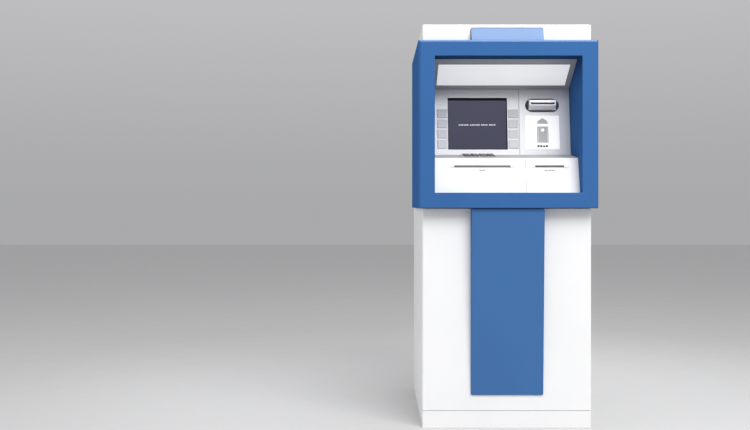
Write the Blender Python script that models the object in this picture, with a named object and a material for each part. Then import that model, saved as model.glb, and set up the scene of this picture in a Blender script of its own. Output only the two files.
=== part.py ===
"""A free-standing cash machine: a sheet-metal cabinet round a safe, a front service door that
swings on two pins, and a user unit with its surround that slides forward on two rails.
Metres, +Z up, the user stands on the -Y side."""

import math

import bmesh
import bpy
from mathutils import Matrix, Vector

# Driving dimensions
WIDTH = 0.600
DEPTH = 0.700
HEIGHT = 1.432
SURROUND_PROUD = 0.045
REAR = (DEPTH + SURROUND_PROUD) / 2
FRONT = REAR - DEPTH
SHEET = 0.003
FIT = 0.0003
SEAM = 0.0015
HALF = WIDTH / 2
# How far a cutting tool goes past the face that it cuts
PAST = 0.02
FINE_FIT = 0.0005

# Levels from the floor up
PLINTH_TOP = 0.059
DOOR_FOOT = PLINTH_TOP + SEAM
DOOR_HEAD = 0.7775
SURROUND_FOOT = 0.779
SURROUND_HEAD = 1.371
BAND_FOOT = SURROUND_HEAD + SEAM

# Front door
DOOR_DEPTH = 0.020
DOOR_SKIN = 0.0025
CORNER_RADIUS = 0.004
SHEET_ROUND = 0.0015
PIVOT_X = -HALF + 0.008
PIVOT_Y = FRONT + DOOR_DEPTH / 2
PIVOT_RADIUS = 0.004
PIVOT_SOCKET = 0.0041
PIVOT_REACH = 0.013
CORNER_BLOCK = 0.020
BRACKET_THICKNESS = 0.006
SIDE_FRONT = FRONT + DOOR_DEPTH + 0.004
FLANGE = 0.008
LOCK_Y = -0.285
LOCK_Z = 0.700
LOCK_RADIUS = 0.009
LOCK_LENGTH = 0.026
LOCK_PROUD = 0.0015
CAM_HALF = 0.006
CAM_LENGTH = 0.026
KEYWAY_HALF = 0.0007
KEYWAY_REACH = 0.004

# Rear panel
VENT_ROWS = 6
VENT_FOOT = 1.180
VENT_PITCH = 0.018
VENT_HEIGHT = 0.005
VENT_HALF = 0.110
GLAND_X = 0.200
GLAND_Z = 0.120
GLAND_RADIUS = 0.011
GLAND_BORE = 0.0045
GLAND_LENGTH = 0.030
NUT_RADIUS = 0.017
NUT_LENGTH = 0.013

# Trim strips down the middle of the front
TRIM_HALF = 0.1285
TRIM_FOOT = 0.1160
TRIM_PROUD_FOOT = 0.0045
TRIM_PROUD_HEAD = SURROUND_PROUD - 0.010
TRIM_WALL = 0.003
TRIM_CORNER = 0.005
CREST_HALF = 0.1275
CREST_HEAD = 1.4190
CREST_PROUD_FOOT = 0.027
CREST_PROUD_HEAD = 0.003
CREST_CORNER = 0.0065

# Surround and the opening through it
SURROUND_FRONT = FRONT - SURROUND_PROUD
SURROUND_HALF = 0.3165
SURROUND_REAR = 0.170
OPENING_HALF = 0.2585
OPENING_FOOT = 0.834
OPENING_HEAD = 1.314
SHELL = 0.004
SURROUND_EDGE = 0.008
POCKET_RIM = 0.010
CHAMFER = 0.001
RECESS_REAR = -0.150

# Recess faces, each given by its lower and upper edge as (y, z)
FASCIA_FACE = ((-0.1865, 0.9766), (-0.1525, 1.2246))
SHELF_FACE = ((-0.3055, 0.9590), (-0.1865, 0.9766))
PANEL_FACE = ((-0.3375, 0.8340), (-0.3055, 0.9590))
CANOPY_FACE = ((-0.1525, 1.2246), (-0.2925, 1.3139))
INNER_HALF = OPENING_HALF - FINE_FIT
MODULE_SEAM_X = 0.069
FASCIA_THICKNESS = 0.012
FASCIA_LAP = 0.008
PANEL_THICKNESS = 0.005
CONSOLE_BEND = 0.006

# Light in the canopy
CANOPY_THICKNESS = 0.028
LIGHT_HALF = 0.2385
LIGHT_REAR = 0.0200
LIGHT_FRONT = 0.1365
DIFFUSER_SINK = 0.0012
DIFFUSER_THICKNESS = 0.0033

# Screen and function keys
SCREEN_LEFT = -0.197
SCREEN_RIGHT = 0.0245
SCREEN_FOOT = 0.996
SCREEN_HEAD = 1.191
KEY_WIDTH = 0.035
KEY_HEIGHT = 0.031
KEY_COLUMNS = {"left": -0.2185, "right": 0.04675}
KEY_ROWS = 4
KEY_TOP_Z = 1.1305
KEY_PITCH = 0.038
KEY_PROUD = 0.0025
KEY_ROUND = 0.0008
KEY_CLEARANCE = 0.0005
KEY_DEPTH = 0.008
KEY_TRAVEL = 0.0025
DISPLAY_LAP = 0.006
DISPLAY_THICKNESS = 0.0325

# Card reader and its placard
CARD_X = 0.155
SLOT_Z = 1.1675
SLOT_WIDTH = 0.086
SLOT_HEIGHT = 0.005
BEZEL_Z = 1.1625
BEZEL_WIDTH = 0.125
BEZEL_HEIGHT = 0.050
BEZEL_RIM = 0.006
BEZEL_PROUD = 0.006
MOUTH_HALF = 0.051
MOUTH_PROUD = 0.020
MOUTH_ROUND = 0.0028
MOUTH_HALF_HEIGHT = 0.018
CHIN = 0.013
FUNNEL = 0.003
PLACARD_LEFT = 0.0925
PLACARD_RIGHT = 0.2167
PLACARD_FOOT = 0.997
PLACARD_HEAD = 1.123
PLACARD_THICKNESS = 0.0012

# Keypad on the shelf
PAD_CENTRE_X = -0.09125
PAD_WIDTH = 0.1265
PAD_LENGTH = 0.095
PAD_FOOT = 0.0125
PAD_PROUD = 0.0035
PAD_DEPTH = 0.011
PIN_POCKET = 0.006
PIN_DEPTH = 0.0037
PIN_WIDTH = 0.024
PIN_LENGTH = 0.0175
PIN_PITCH_X = 0.0295
PIN_PITCH_Y = 0.0225
PIN_PROUD = 0.0065
PIN_ROUND = 0.001
PIN_NAMES = (
    ("blank", "0", "double_zero", "confirm"),
    ("7", "8", "9", "spare"),
    ("4", "5", "6", "correct"),
    ("1", "2", "3", "cancel"),
)

# Note and receipt slots
MOUTH_FOOT = 0.9240
MOUTH_HEIGHT = 0.0080
CASH_X = -0.0855
CASH_WIDTH = 0.2016
RECEIPT_X = 0.155
RECEIPT_WIDTH = 0.103
SCOOP_DROP = 0.0045
SCOOP_DEPTH = 0.0035
SCOOP_FLARE = 0.015
SCOOP_LAP = 0.001
SHUTTER_LAP = 0.003
SHUTTER_THICKNESS = 0.002

# Slide rails and chassis
CHASSIS_HALF = 0.2665
CHASSIS_FOOT = 0.790
CHASSIS_FRONT = -0.3225
CHASSIS_REAR = 0.190
CHASSIS_HEAD = 1.330
RUNNER_FRONT = -0.300
RAIL_FRONT = -0.295
RAIL_REAR = 0.220
RAIL_LIP = 0.0095
RAIL_WRAP = 0.006
RAIL_GAP = 0.0008
RAIL_FOOT = 0.895
RAIL_HEAD = 0.940
RUNNER_EDGE = HALF - FLANGE - 0.0023

# Safe
SAFE_HALF = 0.255
SAFE_FRONT = -0.235
SAFE_REAR = 0.335
SAFE_HEAD = 0.735
SAFE_WALL = 0.010
SAFE_ROUND = 0.004
SAFE_DOOR_THICKNESS = 0.018
SAFE_FACE = SAFE_FRONT - FIT - SAFE_DOOR_THICKNESS
SPINDLE_DEPTH = 0.010
SPINDLE_RADIUS = 0.007
DIAL_AT = (0.100, 0.520)
HANDLE_AT = (0.100, 0.400)
SAFE_DOOR_INSET = 0.006
BARREL_RADIUS = 0.009
NOTE_WAY = (SAFE_FRONT + 0.035, SAFE_FRONT + 0.075)
DIAL_RADIUS = 0.034
DIAL_THICKNESS = 0.012
KNOB_RADIUS = 0.019
HUB_RADIUS = 0.018
HANDLE_PROUD = 0.026
HANDLE_ROUND = 0.003
ARM_HALF = 0.008
ARM_LENGTH = 0.120

# The cash dispenser in the safe
RACK_HALF = 0.180
RACK_REAR = 0.260
RACK_DECK = 0.560
RACK_HEAD = 0.680
CASSETTE_HALF = 0.170
CASSETTE_HEIGHT = 0.250
CASSETTE_WALL = 0.010
CASSETTE_FEET = {"lower": 0.020, "upper": 0.285}
GRIP_HALF = 0.060
GRIP_FOOT = 0.100
GRIP_HEAD = 0.145

# The mechanisms behind the user's faces
READER_HALF = 0.052
READER_FRONT = -0.143
READER_REAR = 0.030
READER_FOOT = 1.142
READER_HEAD = 1.200
THROAT_DEPTH = 0.065
MECHANISM_FRONT = -0.295
PRESENTER_HALF = 0.112
PRESENTER_REAR = -0.200
PRESENTER_FOOT = 0.885
PRESENTER_HEAD = 0.943
PRINTER_HALF = 0.068
PRINTER_REAR = -0.195
PRINTER_FOOT = 0.835
PRINTER_HEAD = 0.945
MOUTH_DEPTH = 0.045
MOUTH_CLEARANCE = 0.0015
CASE_ROUND = 0.002
CORE_LOW = (-0.200, -0.080)
CORE_HIGH = (0.160, 0.170)
CORE_HEIGHT = 0.170

MATERIALS = {
    "cabinet_white": ((0.90, 0.90, 0.91), 0.42, 0.0),
    "accent_blue": ((0.055, 0.165, 0.42), 0.45, 0.0),
    "fascia_silver": ((0.62, 0.63, 0.65), 0.38, 0.3),
    "console_white": ((0.88, 0.88, 0.89), 0.35, 0.0),
    "canopy_grey": ((0.30, 0.30, 0.32), 0.50, 0.0),
    "diffuser_white": ((0.92, 0.92, 0.92), 0.60, 0.0),
    "display_dark": ((0.07, 0.07, 0.10), 0.15, 0.0),
    "key_grey": ((0.58, 0.59, 0.60), 0.45, 0.0),
    "pin_key_dark": ((0.08, 0.08, 0.09), 0.45, 0.0),
    "pad_steel": ((0.45, 0.45, 0.47), 0.35, 0.8),
    "bezel_metal": ((0.60, 0.60, 0.62), 0.25, 1.0),
    "placard_white": ((0.90, 0.90, 0.90), 0.50, 0.0),
    "safe_grey": ((0.32, 0.34, 0.36), 0.55, 0.0),
    "zinc_steel": ((0.55, 0.56, 0.57), 0.40, 1.0),
    "mechanism_black": ((0.05, 0.05, 0.055), 0.55, 0.0),
    "lock_chrome": ((0.75, 0.75, 0.76), 0.18, 1.0),
}


def clear_scene():
    for item in list(bpy.data.objects):
        bpy.data.objects.remove(item)


def make_materials():
    for name, (colour, roughness, metallic) in MATERIALS.items():
        material = bpy.data.materials.new(name)
        material.use_nodes = True
        shader = material.node_tree.nodes["Principled BSDF"]
        shader.inputs["Base Color"].default_value = (*colour, 1.0)
        shader.inputs["Roughness"].default_value = roughness
        shader.inputs["Metallic"].default_value = metallic


def face_frame(face):
    """A frame on a leaning face: x to the right, y up the face from its lower edge, z out of it."""
    (low_y, low_z), (high_y, high_z) = face
    right = Vector((1, 0, 0))
    up = Vector((0, high_y - low_y, high_z - low_z)).normalized()
    frame = Matrix((right, up, right.cross(up))).transposed().to_4x4()
    frame.translation = (0, low_y, low_z)
    return frame


def face_length(face):
    return math.dist(face[0], face[1])


def up_face(face, level):
    """How far up a leaning face a height above the floor is."""
    return (level - face[0][1]) * face_length(face) / (face[1][1] - face[0][1])


def place(name, shape, frame=None):
    mesh = bpy.data.meshes.new(name)
    bmesh.ops.recalc_face_normals(shape, faces=shape.faces)
    shape.to_mesh(mesh)
    shape.free()
    item = bpy.data.objects.new(name, mesh)
    bpy.context.scene.collection.objects.link(item)
    if frame:
        item.matrix_world = frame
    return item


def block(name, low, high, frame=None):
    """A box between two opposite corners."""
    shape = bmesh.new()
    size = [b - a for a, b in zip(low, high)]
    middle = [(a + b) / 2 for a, b in zip(low, high)]
    matrix = Matrix.Translation(middle) @ Matrix.Diagonal((*size, 1.0))
    bmesh.ops.create_cube(shape, size=1.0, matrix=matrix)
    return place(name, shape, frame)


def hull(name, points, frame=None):
    """The convex solid round some points."""
    shape = bmesh.new()
    for point in points:
        shape.verts.new(point)
    bmesh.ops.convex_hull(shape, input=shape.verts)
    bmesh.ops.dissolve_limit(
        shape, angle_limit=math.radians(1), verts=shape.verts, edges=shape.edges
    )
    return place(name, shape, frame)


def prism(name, outline, low_x, high_x, frame=None):
    """An outline in the y-z plane drawn out along x."""
    shape = bmesh.new()
    near = [shape.verts.new((low_x, y, z)) for y, z in outline]
    far = [shape.verts.new((high_x, y, z)) for y, z in outline]
    shape.faces.new(near)
    shape.faces.new(far)
    for i in range(len(outline)):
        j = (i + 1) % len(outline)
        shape.faces.new((near[i], near[j], far[j], far[i]))
    return place(name, shape, frame)


def rod(name, start, end, radius, sides=24, frame=None):
    """A round bar between two points."""
    start = Vector(start)
    end = Vector(end)
    turn = (end - start).to_track_quat("Z", "Y").to_matrix().to_4x4()
    matrix = Matrix.Translation((start + end) / 2) @ turn
    shape = bmesh.new()
    bmesh.ops.create_cone(
        shape,
        cap_ends=True,
        segments=sides,
        radius1=radius,
        radius2=radius,
        depth=(end - start).length,
        matrix=matrix,
    )
    return place(name, shape, frame)


def round_edges(item, width, axis=None, segments=2, above=-math.inf):
    """Rounds the sharp edges of a piece, or only those along one of its own axes, or above a level."""
    shape = bmesh.new()
    shape.from_mesh(item.data)
    chosen = []
    for edge in shape.edges:
        run = (edge.verts[1].co - edge.verts[0].co).normalized()
        along = axis is None or abs(run["xyz".index(axis)]) > 0.999
        high = (edge.verts[0].co.z + edge.verts[1].co.z) / 2 > above
        if along and high and edge.calc_face_angle(0) > math.radians(30):
            chosen.append(edge)
    bmesh.ops.bevel(
        shape,
        geom=chosen,
        offset=width,
        segments=segments,
        profile=0.5,
        affect="EDGES",
        clamp_overlap=True,
    )
    shape.to_mesh(item.data)
    shape.free()
    return item


def combine(item, tools, operation):
    for tool in tools:
        step = item.modifiers.new(operation, "BOOLEAN")
        step.operation = operation
        step.solver = "EXACT"
        step.object = tool
    bpy.context.view_layer.update()
    graph = bpy.context.evaluated_depsgraph_get()
    mesh = bpy.data.meshes.new_from_object(item.evaluated_get(graph))
    item.modifiers.clear()
    item.data = mesh
    for tool in tools:
        bpy.data.objects.remove(tool)
    return item


def carve(item, *tools):
    return combine(item, tools, "DIFFERENCE")


def fuse(item, *tools):
    return combine(item, tools, "UNION")


def finish(item, material, pivot=None):
    """Gives a piece its material and shading, and puts its origin on its joint's axis."""
    if pivot:
        item.data.transform(Matrix.Translation(-Vector(pivot)))
        item.matrix_world = Matrix.Translation(pivot)
    item.data.materials.clear()
    item.data.materials.append(bpy.data.materials[material])
    item.data.shade_smooth()
    item.data.set_sharp_from_angle(angle=math.radians(32))
    return item


def pivot_rod(name, foot, head, radius):
    return rod(name, (PIVOT_X, PIVOT_Y, foot), (PIVOT_X, PIVOT_Y, head), radius)


def pivot_socket(level):
    """The hole for a door pin, open through the face at a level."""
    return pivot_rod("socket", level - 2 * PIVOT_REACH, level + PIVOT_REACH, PIVOT_SOCKET)


def base_plinth():
    plinth = block("base_plinth", (-HALF, FRONT, 0), (HALF, REAR, PLINTH_TOP))
    round_edges(plinth, CORNER_RADIUS, "z")
    inside = block(
        "inside",
        (-HALF + SHEET, FRONT + SHEET, SHEET),
        (HALF - SHEET, REAR - SHEET, PLINTH_TOP + SHEET),
    )
    carve(plinth, inside)
    corner = block(
        "corner",
        (-HALF + SHEET / 2, FRONT + SHEET / 2, PLINTH_TOP - PIVOT_REACH - SHEET),
        (PIVOT_X + CORNER_BLOCK, PIVOT_Y + CORNER_BLOCK, PLINTH_TOP - FINE_FIT),
    )
    fuse(plinth, corner)
    carve(plinth, pivot_socket(PLINTH_TOP))
    finish(plinth, "cabinet_white")


def cabinet_side(side):
    """A folded side sheet with a narrow flange all round its inner face."""
    sign = -1 if side == "left" else 1
    name = "cabinet_side_" + side
    head = HEIGHT - SHEET - FINE_FIT
    outer = sign * HALF
    inner = sign * (HALF - FLANGE)
    panel = block(
        name,
        (min(outer, inner), SIDE_FRONT, DOOR_FOOT),
        (max(outer, inner), REAR, head),
    )
    round_edges(panel, SHEET_ROUND, "z")
    pocket_outer = sign * (HALF - SHEET)
    pocket_inner = sign * (HALF - 2 * FLANGE)
    pocket = block(
        "pocket",
        (min(pocket_outer, pocket_inner), SIDE_FRONT + SHEET, DOOR_FOOT + SHEET),
        (max(pocket_outer, pocket_inner), REAR - SHEET, head - SHEET),
    )
    carve(panel, pocket)
    if side == "left":
        bracket = block(
            "bracket",
            (-HALF + SHEET / 2, FRONT + SHEET / 2, SURROUND_FOOT),
            (PIVOT_X + CORNER_BLOCK, SIDE_FRONT + FLANGE, SURROUND_FOOT + BRACKET_THICKNESS),
        )
        pin_foot = DOOR_HEAD - PIVOT_REACH
        pin = pivot_rod("pin", pin_foot, SURROUND_FOOT + SHEET, PIVOT_RADIUS)
        fuse(panel, bracket, pin)
    else:
        hole = rod(
            "hole",
            (HALF - PAST, LOCK_Y, LOCK_Z),
            (HALF + PAST, LOCK_Y, LOCK_Z),
            LOCK_RADIUS + FIT,
        )
        carve(panel, hole)
    finish(panel, "cabinet_white")


def rear_panel():
    edge = HALF - FLANGE - FINE_FIT
    panel = block(
        "rear_panel",
        (-edge, REAR - SHEET, DOOR_FOOT),
        (edge, REAR, HEIGHT - SHEET - FINE_FIT),
    )
    vents = []
    for i in range(VENT_ROWS):
        level = VENT_FOOT + i * VENT_PITCH
        vents.append(
            block(
                "vent",
                (-VENT_HALF, REAR - PAST, level),
                (VENT_HALF, REAR + PAST, level + VENT_HEIGHT),
            )
        )
    carve(panel, *vents)
    entry = rod(
        "entry",
        (GLAND_X, REAR - PAST, GLAND_Z),
        (GLAND_X, REAR + PAST, GLAND_Z),
        GLAND_RADIUS + FIT,
    )
    carve(panel, entry)
    finish(panel, "cabinet_white")


def cable_gland():
    body = rod(
        "cable_gland",
        (GLAND_X, REAR - GLAND_LENGTH, GLAND_Z),
        (GLAND_X, REAR - FIT, GLAND_Z),
        GLAND_RADIUS,
    )
    nut = rod(
        "nut",
        (GLAND_X, REAR - SHEET - NUT_LENGTH, GLAND_Z),
        (GLAND_X, REAR - SHEET - FIT, GLAND_Z),
        NUT_RADIUS,
        6,
    )
    fuse(body, nut)
    bore = rod(
        "bore",
        (GLAND_X, REAR - GLAND_LENGTH - PAST, GLAND_Z),
        (GLAND_X, REAR + PAST, GLAND_Z),
        GLAND_BORE,
    )
    carve(body, bore)
    finish(body, "mechanism_black")


def top_cover():
    """The top sheet, folded down in front to make the band above the surround."""
    low = BAND_FOOT - 2 * CORNER_RADIUS
    cover = block("top_cover", (-HALF, FRONT, low), (HALF, REAR, HEIGHT))
    round_edges(cover, CORNER_RADIUS)
    under = HEIGHT - SHEET
    inside = block(
        "inside",
        (-HALF + SHEET, FRONT + SHEET, low - PAST),
        (HALF - SHEET, REAR + PAST, under),
    )
    behind = block(
        "behind",
        (-HALF - PAST, SIDE_FRONT - FINE_FIT, low - PAST),
        (HALF + PAST, REAR + PAST, under),
    )
    below = block(
        "below",
        (-HALF - PAST, FRONT - PAST, low - PAST),
        (HALF + PAST, REAR + PAST, BAND_FOOT),
    )
    carve(cover, inside, behind, below)
    finish(cover, "cabinet_white")


def trim_wedge(name, half, foot, head, proud_foot, proud_head):
    """A strip whose front face leans between two distances out from the cabinet."""
    base = FRONT - FIT
    return hull(
        name,
        [
            (sign * half, y, z)
            for sign in (-1, 1)
            for y, z in (
                (base, foot),
                (FRONT - proud_foot, foot),
                (base, head),
                (FRONT - proud_head, head),
            )
        ],
    )


def top_trim():
    strip = trim_wedge(
        "top_trim",
        CREST_HALF,
        BAND_FOOT,
        CREST_HEAD,
        CREST_PROUD_FOOT,
        CREST_PROUD_HEAD,
    )
    round_edges(strip, CREST_CORNER, "y", 4, above=(BAND_FOOT + CREST_HEAD) / 2)
    finish(strip, "accent_blue")


def door_trim():
    strip = trim_wedge(
        "door_trim",
        TRIM_HALF,
        TRIM_FOOT,
        DOOR_HEAD,
        TRIM_PROUD_FOOT,
        TRIM_PROUD_HEAD,
    )
    round_edges(strip, TRIM_CORNER, "y", 3)
    inset = 4 * TRIM_WALL
    hollow = hull(
        "hollow",
        [
            (sign * (TRIM_HALF - TRIM_WALL), y, z)
            for sign in (-1, 1)
            for y, z in (
                (FRONT + 0.01, TRIM_FOOT + inset),
                (FRONT - TRIM_PROUD_FOOT + TRIM_WALL, TRIM_FOOT + inset),
                (FRONT + 0.01, DOOR_HEAD - inset),
                (FRONT - TRIM_PROUD_HEAD + TRIM_WALL, DOOR_HEAD - inset),
            )
        ],
    )
    carve(strip, hollow)
    finish(strip, "accent_blue", (PIVOT_X, PIVOT_Y, DOOR_FOOT))


def front_door():
    """A full-width pressed tray that turns on a pin at the foot and the head of its left edge."""
    rear = FRONT + DOOR_DEPTH
    door = block("front_door", (-HALF, FRONT, DOOR_FOOT), (HALF, rear, DOOR_HEAD))
    round_edges(door, CORNER_RADIUS, "z")
    tray = block(
        "tray",
        (-HALF + DOOR_SKIN, FRONT + DOOR_SKIN, DOOR_FOOT + DOOR_SKIN),
        (HALF - DOOR_SKIN, rear + PAST, DOOR_HEAD - DOOR_SKIN),
    )
    carve(door, tray)
    boss = block(
        "boss",
        (-HALF + SHEET / 2, FRONT + SHEET / 2, DOOR_HEAD - PIVOT_REACH - SHEET),
        (PIVOT_X + CORNER_BLOCK, rear - SHEET / 2, DOOR_HEAD - SHEET / 2),
    )
    pin_foot = PLINTH_TOP - PIVOT_REACH
    pin = pivot_rod("pin", pin_foot, DOOR_FOOT + SHEET, PIVOT_RADIUS)
    fuse(door, boss, pin)
    carve(door, pivot_socket(DOOR_HEAD))
    finish(door, "cabinet_white", (PIVOT_X, PIVOT_Y, DOOR_FOOT))


def door_lock():
    """A key-operated cam lock through the right side, next to the door's free edge."""
    lock = rod(
        "door_lock",
        (HALF - LOCK_LENGTH, LOCK_Y, LOCK_Z),
        (HALF + LOCK_PROUD, LOCK_Y, LOCK_Z),
        LOCK_RADIUS,
    )
    cam = block(
        "cam",
        (HALF - LOCK_LENGTH + SHEET, LOCK_Y - CAM_HALF, LOCK_Z - CAM_LENGTH),
        (HALF - LOCK_LENGTH + 2 * SHEET, LOCK_Y + CAM_HALF, LOCK_Z),
    )
    fuse(lock, cam)
    keyway = block(
        "keyway",
        (HALF - LOCK_LENGTH / 2, LOCK_Y - KEYWAY_HALF, LOCK_Z - KEYWAY_REACH),
        (HALF + LOCK_PROUD + PAST, LOCK_Y + KEYWAY_HALF, LOCK_Z + KEYWAY_REACH),
    )
    carve(lock, keyway)
    finish(lock, "lock_chrome", (HALF, LOCK_Y, LOCK_Z))


def safe_body():
    body = block(
        "safe_body",
        (-SAFE_HALF, SAFE_FRONT, SHEET + FIT),
        (SAFE_HALF, SAFE_REAR, SAFE_HEAD),
    )
    round_edges(body, SAFE_ROUND, "y", 1)
    chamber = block(
        "chamber",
        (-SAFE_HALF + SAFE_WALL, SAFE_FRONT - PAST, SHEET + FIT + SAFE_WALL),
        (SAFE_HALF - SAFE_WALL, SAFE_REAR - SAFE_WALL, SAFE_HEAD - SAFE_WALL),
    )
    note_way = block(
        "note_way",
        (CASH_X - PRESENTER_HALF, NOTE_WAY[0], SAFE_HEAD - SAFE_WALL - PAST),
        (CASH_X + PRESENTER_HALF, NOTE_WAY[1], SAFE_HEAD + PAST),
    )
    carve(body, chamber, note_way)
    finish(body, "safe_grey")


def safe_door():
    edge = SAFE_HALF - SAFE_DOOR_INSET
    foot = 2 * SAFE_DOOR_INSET
    head = SAFE_HEAD - SAFE_DOOR_INSET
    door = block(
        "safe_door", (-edge, SAFE_FACE, foot), (edge, SAFE_FRONT - FIT, head)
    )
    round_edges(door, SAFE_ROUND / 2, None, 1)
    barrel_x = -edge + BARREL_RADIUS / 4
    barrel = rod(
        "barrel",
        (barrel_x, SAFE_FACE, foot + 6 * BARREL_RADIUS),
        (barrel_x, SAFE_FACE, head - 6 * BARREL_RADIUS),
        BARREL_RADIUS,
        16,
    )
    fuse(door, barrel)
    holes = [
        rod(
            "hole",
            (x, SAFE_FACE - PAST, z),
            (x, SAFE_FACE + SPINDLE_DEPTH + FINE_FIT, z),
            SPINDLE_RADIUS + FIT / 2,
        )
        for x, z in (DIAL_AT, HANDLE_AT)
    ]
    carve(door, *holes)
    finish(door, "safe_grey")


def spindle(x, z):
    """The shaft behind the dial or the handle, in its hole in the safe door."""
    return rod(
        "spindle",
        (x, SAFE_FACE - SPINDLE_RADIUS / 2, z),
        (x, SAFE_FACE + SPINDLE_DEPTH, z),
        SPINDLE_RADIUS,
    )


def safe_dial():
    x, z = DIAL_AT
    near = SAFE_FACE - FINE_FIT
    plate_face = near - DIAL_THICKNESS
    dial = rod("safe_dial", (x, plate_face, z), (x, near, z), DIAL_RADIUS, 36)
    knob = rod("knob", (x, plate_face - KNOB_RADIUS, z), (x, near - SHEET, z), KNOB_RADIUS)
    fuse(dial, knob, spindle(x, z))
    finish(dial, "lock_chrome", (x, SAFE_FACE, z))


def safe_handle():
    x, z = HANDLE_AT
    near = SAFE_FACE - FINE_FIT
    far = near - HANDLE_PROUD
    handle = rod("safe_handle", (x, far, z), (x, near, z), HUB_RADIUS)
    arm = block(
        "arm",
        (x - ARM_HALF, far + SHEET / 3, z - ARM_LENGTH),
        (x + ARM_HALF, far + SHEET / 3 + 1.5 * ARM_HALF, z),
    )
    round_edges(arm, HANDLE_ROUND)
    fuse(handle, arm, spindle(x, z))
    finish(handle, "lock_chrome", (x, SAFE_FACE, z))


def cash_dispenser():
    """The frame in the safe that holds the cassettes, with the note lifter on top."""
    floor = SHEET + 2 * FIT + SAFE_WALL
    front = SAFE_FRONT + PAST
    inner = RACK_HALF - SHEET
    rack = block("cash_dispenser", (-RACK_HALF, front, floor), (RACK_HALF, RACK_REAR, RACK_HEAD))
    bay = block(
        "bay", (-inner, front - PAST, floor + SHEET), (inner, RACK_REAR - SHEET, RACK_DECK)
    )
    transport_bay = block(
        "transport_bay",
        (-inner, front + SHEET, RACK_DECK + SHEET),
        (inner, RACK_REAR + PAST, RACK_HEAD - SHEET),
    )
    carve(rack, bay, transport_bay)
    lifter = block(
        "lifter",
        (CASH_X - CASH_WIDTH / 2, NOTE_WAY[0] + SHEET, RACK_HEAD - SHEET / 2),
        (CASH_X + CASH_WIDTH / 2, NOTE_WAY[1] - SHEET, SAFE_HEAD - SHEET),
    )
    fuse(rack, lifter)
    finish(rack, "zinc_steel")


def cash_cassette(level):
    foot = CASSETTE_FEET[level]
    head = foot + CASSETTE_HEIGHT
    front = SAFE_FRONT + PAST + SHEET
    rear = RACK_REAR - PAST
    cassette = block(
        "cash_cassette_" + level, (-CASSETTE_HALF, front, foot), (CASSETTE_HALF, rear, head)
    )
    round_edges(cassette, 2 * SHEET, "y", 1)
    grip = block(
        "grip",
        (-GRIP_HALF, front - PAST, foot + GRIP_FOOT),
        (GRIP_HALF, front + PAST, foot + GRIP_HEAD),
    )
    inner = CASSETTE_HALF - CASSETTE_WALL
    note_well = block(
        "note_well",
        (-inner, front + 2 * PAST, foot + CASSETTE_WALL),
        (inner, rear + PAST, head - CASSETTE_WALL),
    )
    carve(cassette, grip, note_well)
    finish(cassette, "mechanism_black")


def surround_frame():
    """The frame round the user recess, with wings that wrap the cabinet's sides."""
    frame = hull(
        "surround_frame",
        [
            (sign * (SURROUND_HALF - inset), y, z)
            for sign in (-1, 1)
            for y, inset, foot_inset in (
                (SURROUND_FRONT, SURROUND_EDGE, CHAMFER),
                (SURROUND_FRONT + SURROUND_EDGE, 0, 0),
                (SURROUND_REAR, 0, 0),
            )
            for z in (SURROUND_FOOT + foot_inset, SURROUND_HEAD - inset)
        ],
    )
    round_edges(frame, SURROUND_EDGE / 4)
    ring_rear = FRONT - FIT
    cabinet = block(
        "cabinet",
        (-HALF - FIT, ring_rear, SURROUND_FOOT - PAST),
        (HALF + FIT, SURROUND_REAR + PAST, SURROUND_HEAD + PAST),
    )
    carve(frame, cabinet)
    for sign in (-1, 1):
        wall_x = sorted((sign * OPENING_HALF, sign * (OPENING_HALF + SHELL)))
        wall = block(
            "wall",
            (wall_x[0], ring_rear - POCKET_RIM, OPENING_FOOT - SHELL),
            (wall_x[1], RECESS_REAR, OPENING_HEAD + SHELL),
        )
        fuse(frame, wall)
    roof = block(
        "roof",
        (-OPENING_HALF - SHELL, ring_rear - POCKET_RIM, OPENING_HEAD),
        (OPENING_HALF + SHELL, CANOPY_FACE[1][0] - 2 * FIT, OPENING_HEAD + SHELL),
    )
    fuse(frame, roof)
    opening = block(
        "opening",
        (-OPENING_HALF, SURROUND_FRONT - PAST, OPENING_FOOT),
        (OPENING_HALF, REAR, OPENING_HEAD),
    )
    chamfer = hull(
        "chamfer",
        [
            (sign * (OPENING_HALF + grow), y, z)
            for sign in (-1, 1)
            for y, grow in (
                (SURROUND_FRONT - CHAMFER, 2 * CHAMFER),
                (SURROUND_FRONT + CHAMFER, 0),
            )
            for z in (OPENING_FOOT - grow, OPENING_HEAD + grow)
        ],
    )
    carve(frame, opening, chamfer)
    hollow_front = SURROUND_FRONT + SHELL
    outer = HALF - CHAMFER
    hollows = [
        block(
            "hollow",
            (-outer, hollow_front, OPENING_HEAD + SHELL),
            (outer, REAR, SURROUND_HEAD - SHELL),
        ),
        block(
            "hollow",
            (-outer, hollow_front, SURROUND_FOOT + SHELL),
            (outer, REAR, OPENING_FOOT - SHELL),
        ),
        block(
            "hollow",
            (-outer, hollow_front, SURROUND_FOOT + SHELL),
            (-OPENING_HALF - SHELL, REAR, SURROUND_HEAD - SHELL),
        ),
        block(
            "hollow",
            (OPENING_HALF + SHELL, hollow_front, SURROUND_FOOT + SHELL),
            (outer, REAR, SURROUND_HEAD - SHELL),
        ),
    ]
    for sign in (-1, 1):
        pocket_x = sorted((sign * (HALF - POCKET_RIM), sign * (SURROUND_HALF - SHELL)))
        hollows.append(
            block(
                "pocket",
                (pocket_x[0], ring_rear + POCKET_RIM, SURROUND_FOOT + POCKET_RIM),
                (pocket_x[1], SURROUND_REAR - POCKET_RIM, SURROUND_HEAD - POCKET_RIM),
            )
        )
    for hollow in hollows:
        carve(frame, hollow)
    finish(frame, "accent_blue")


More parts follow.
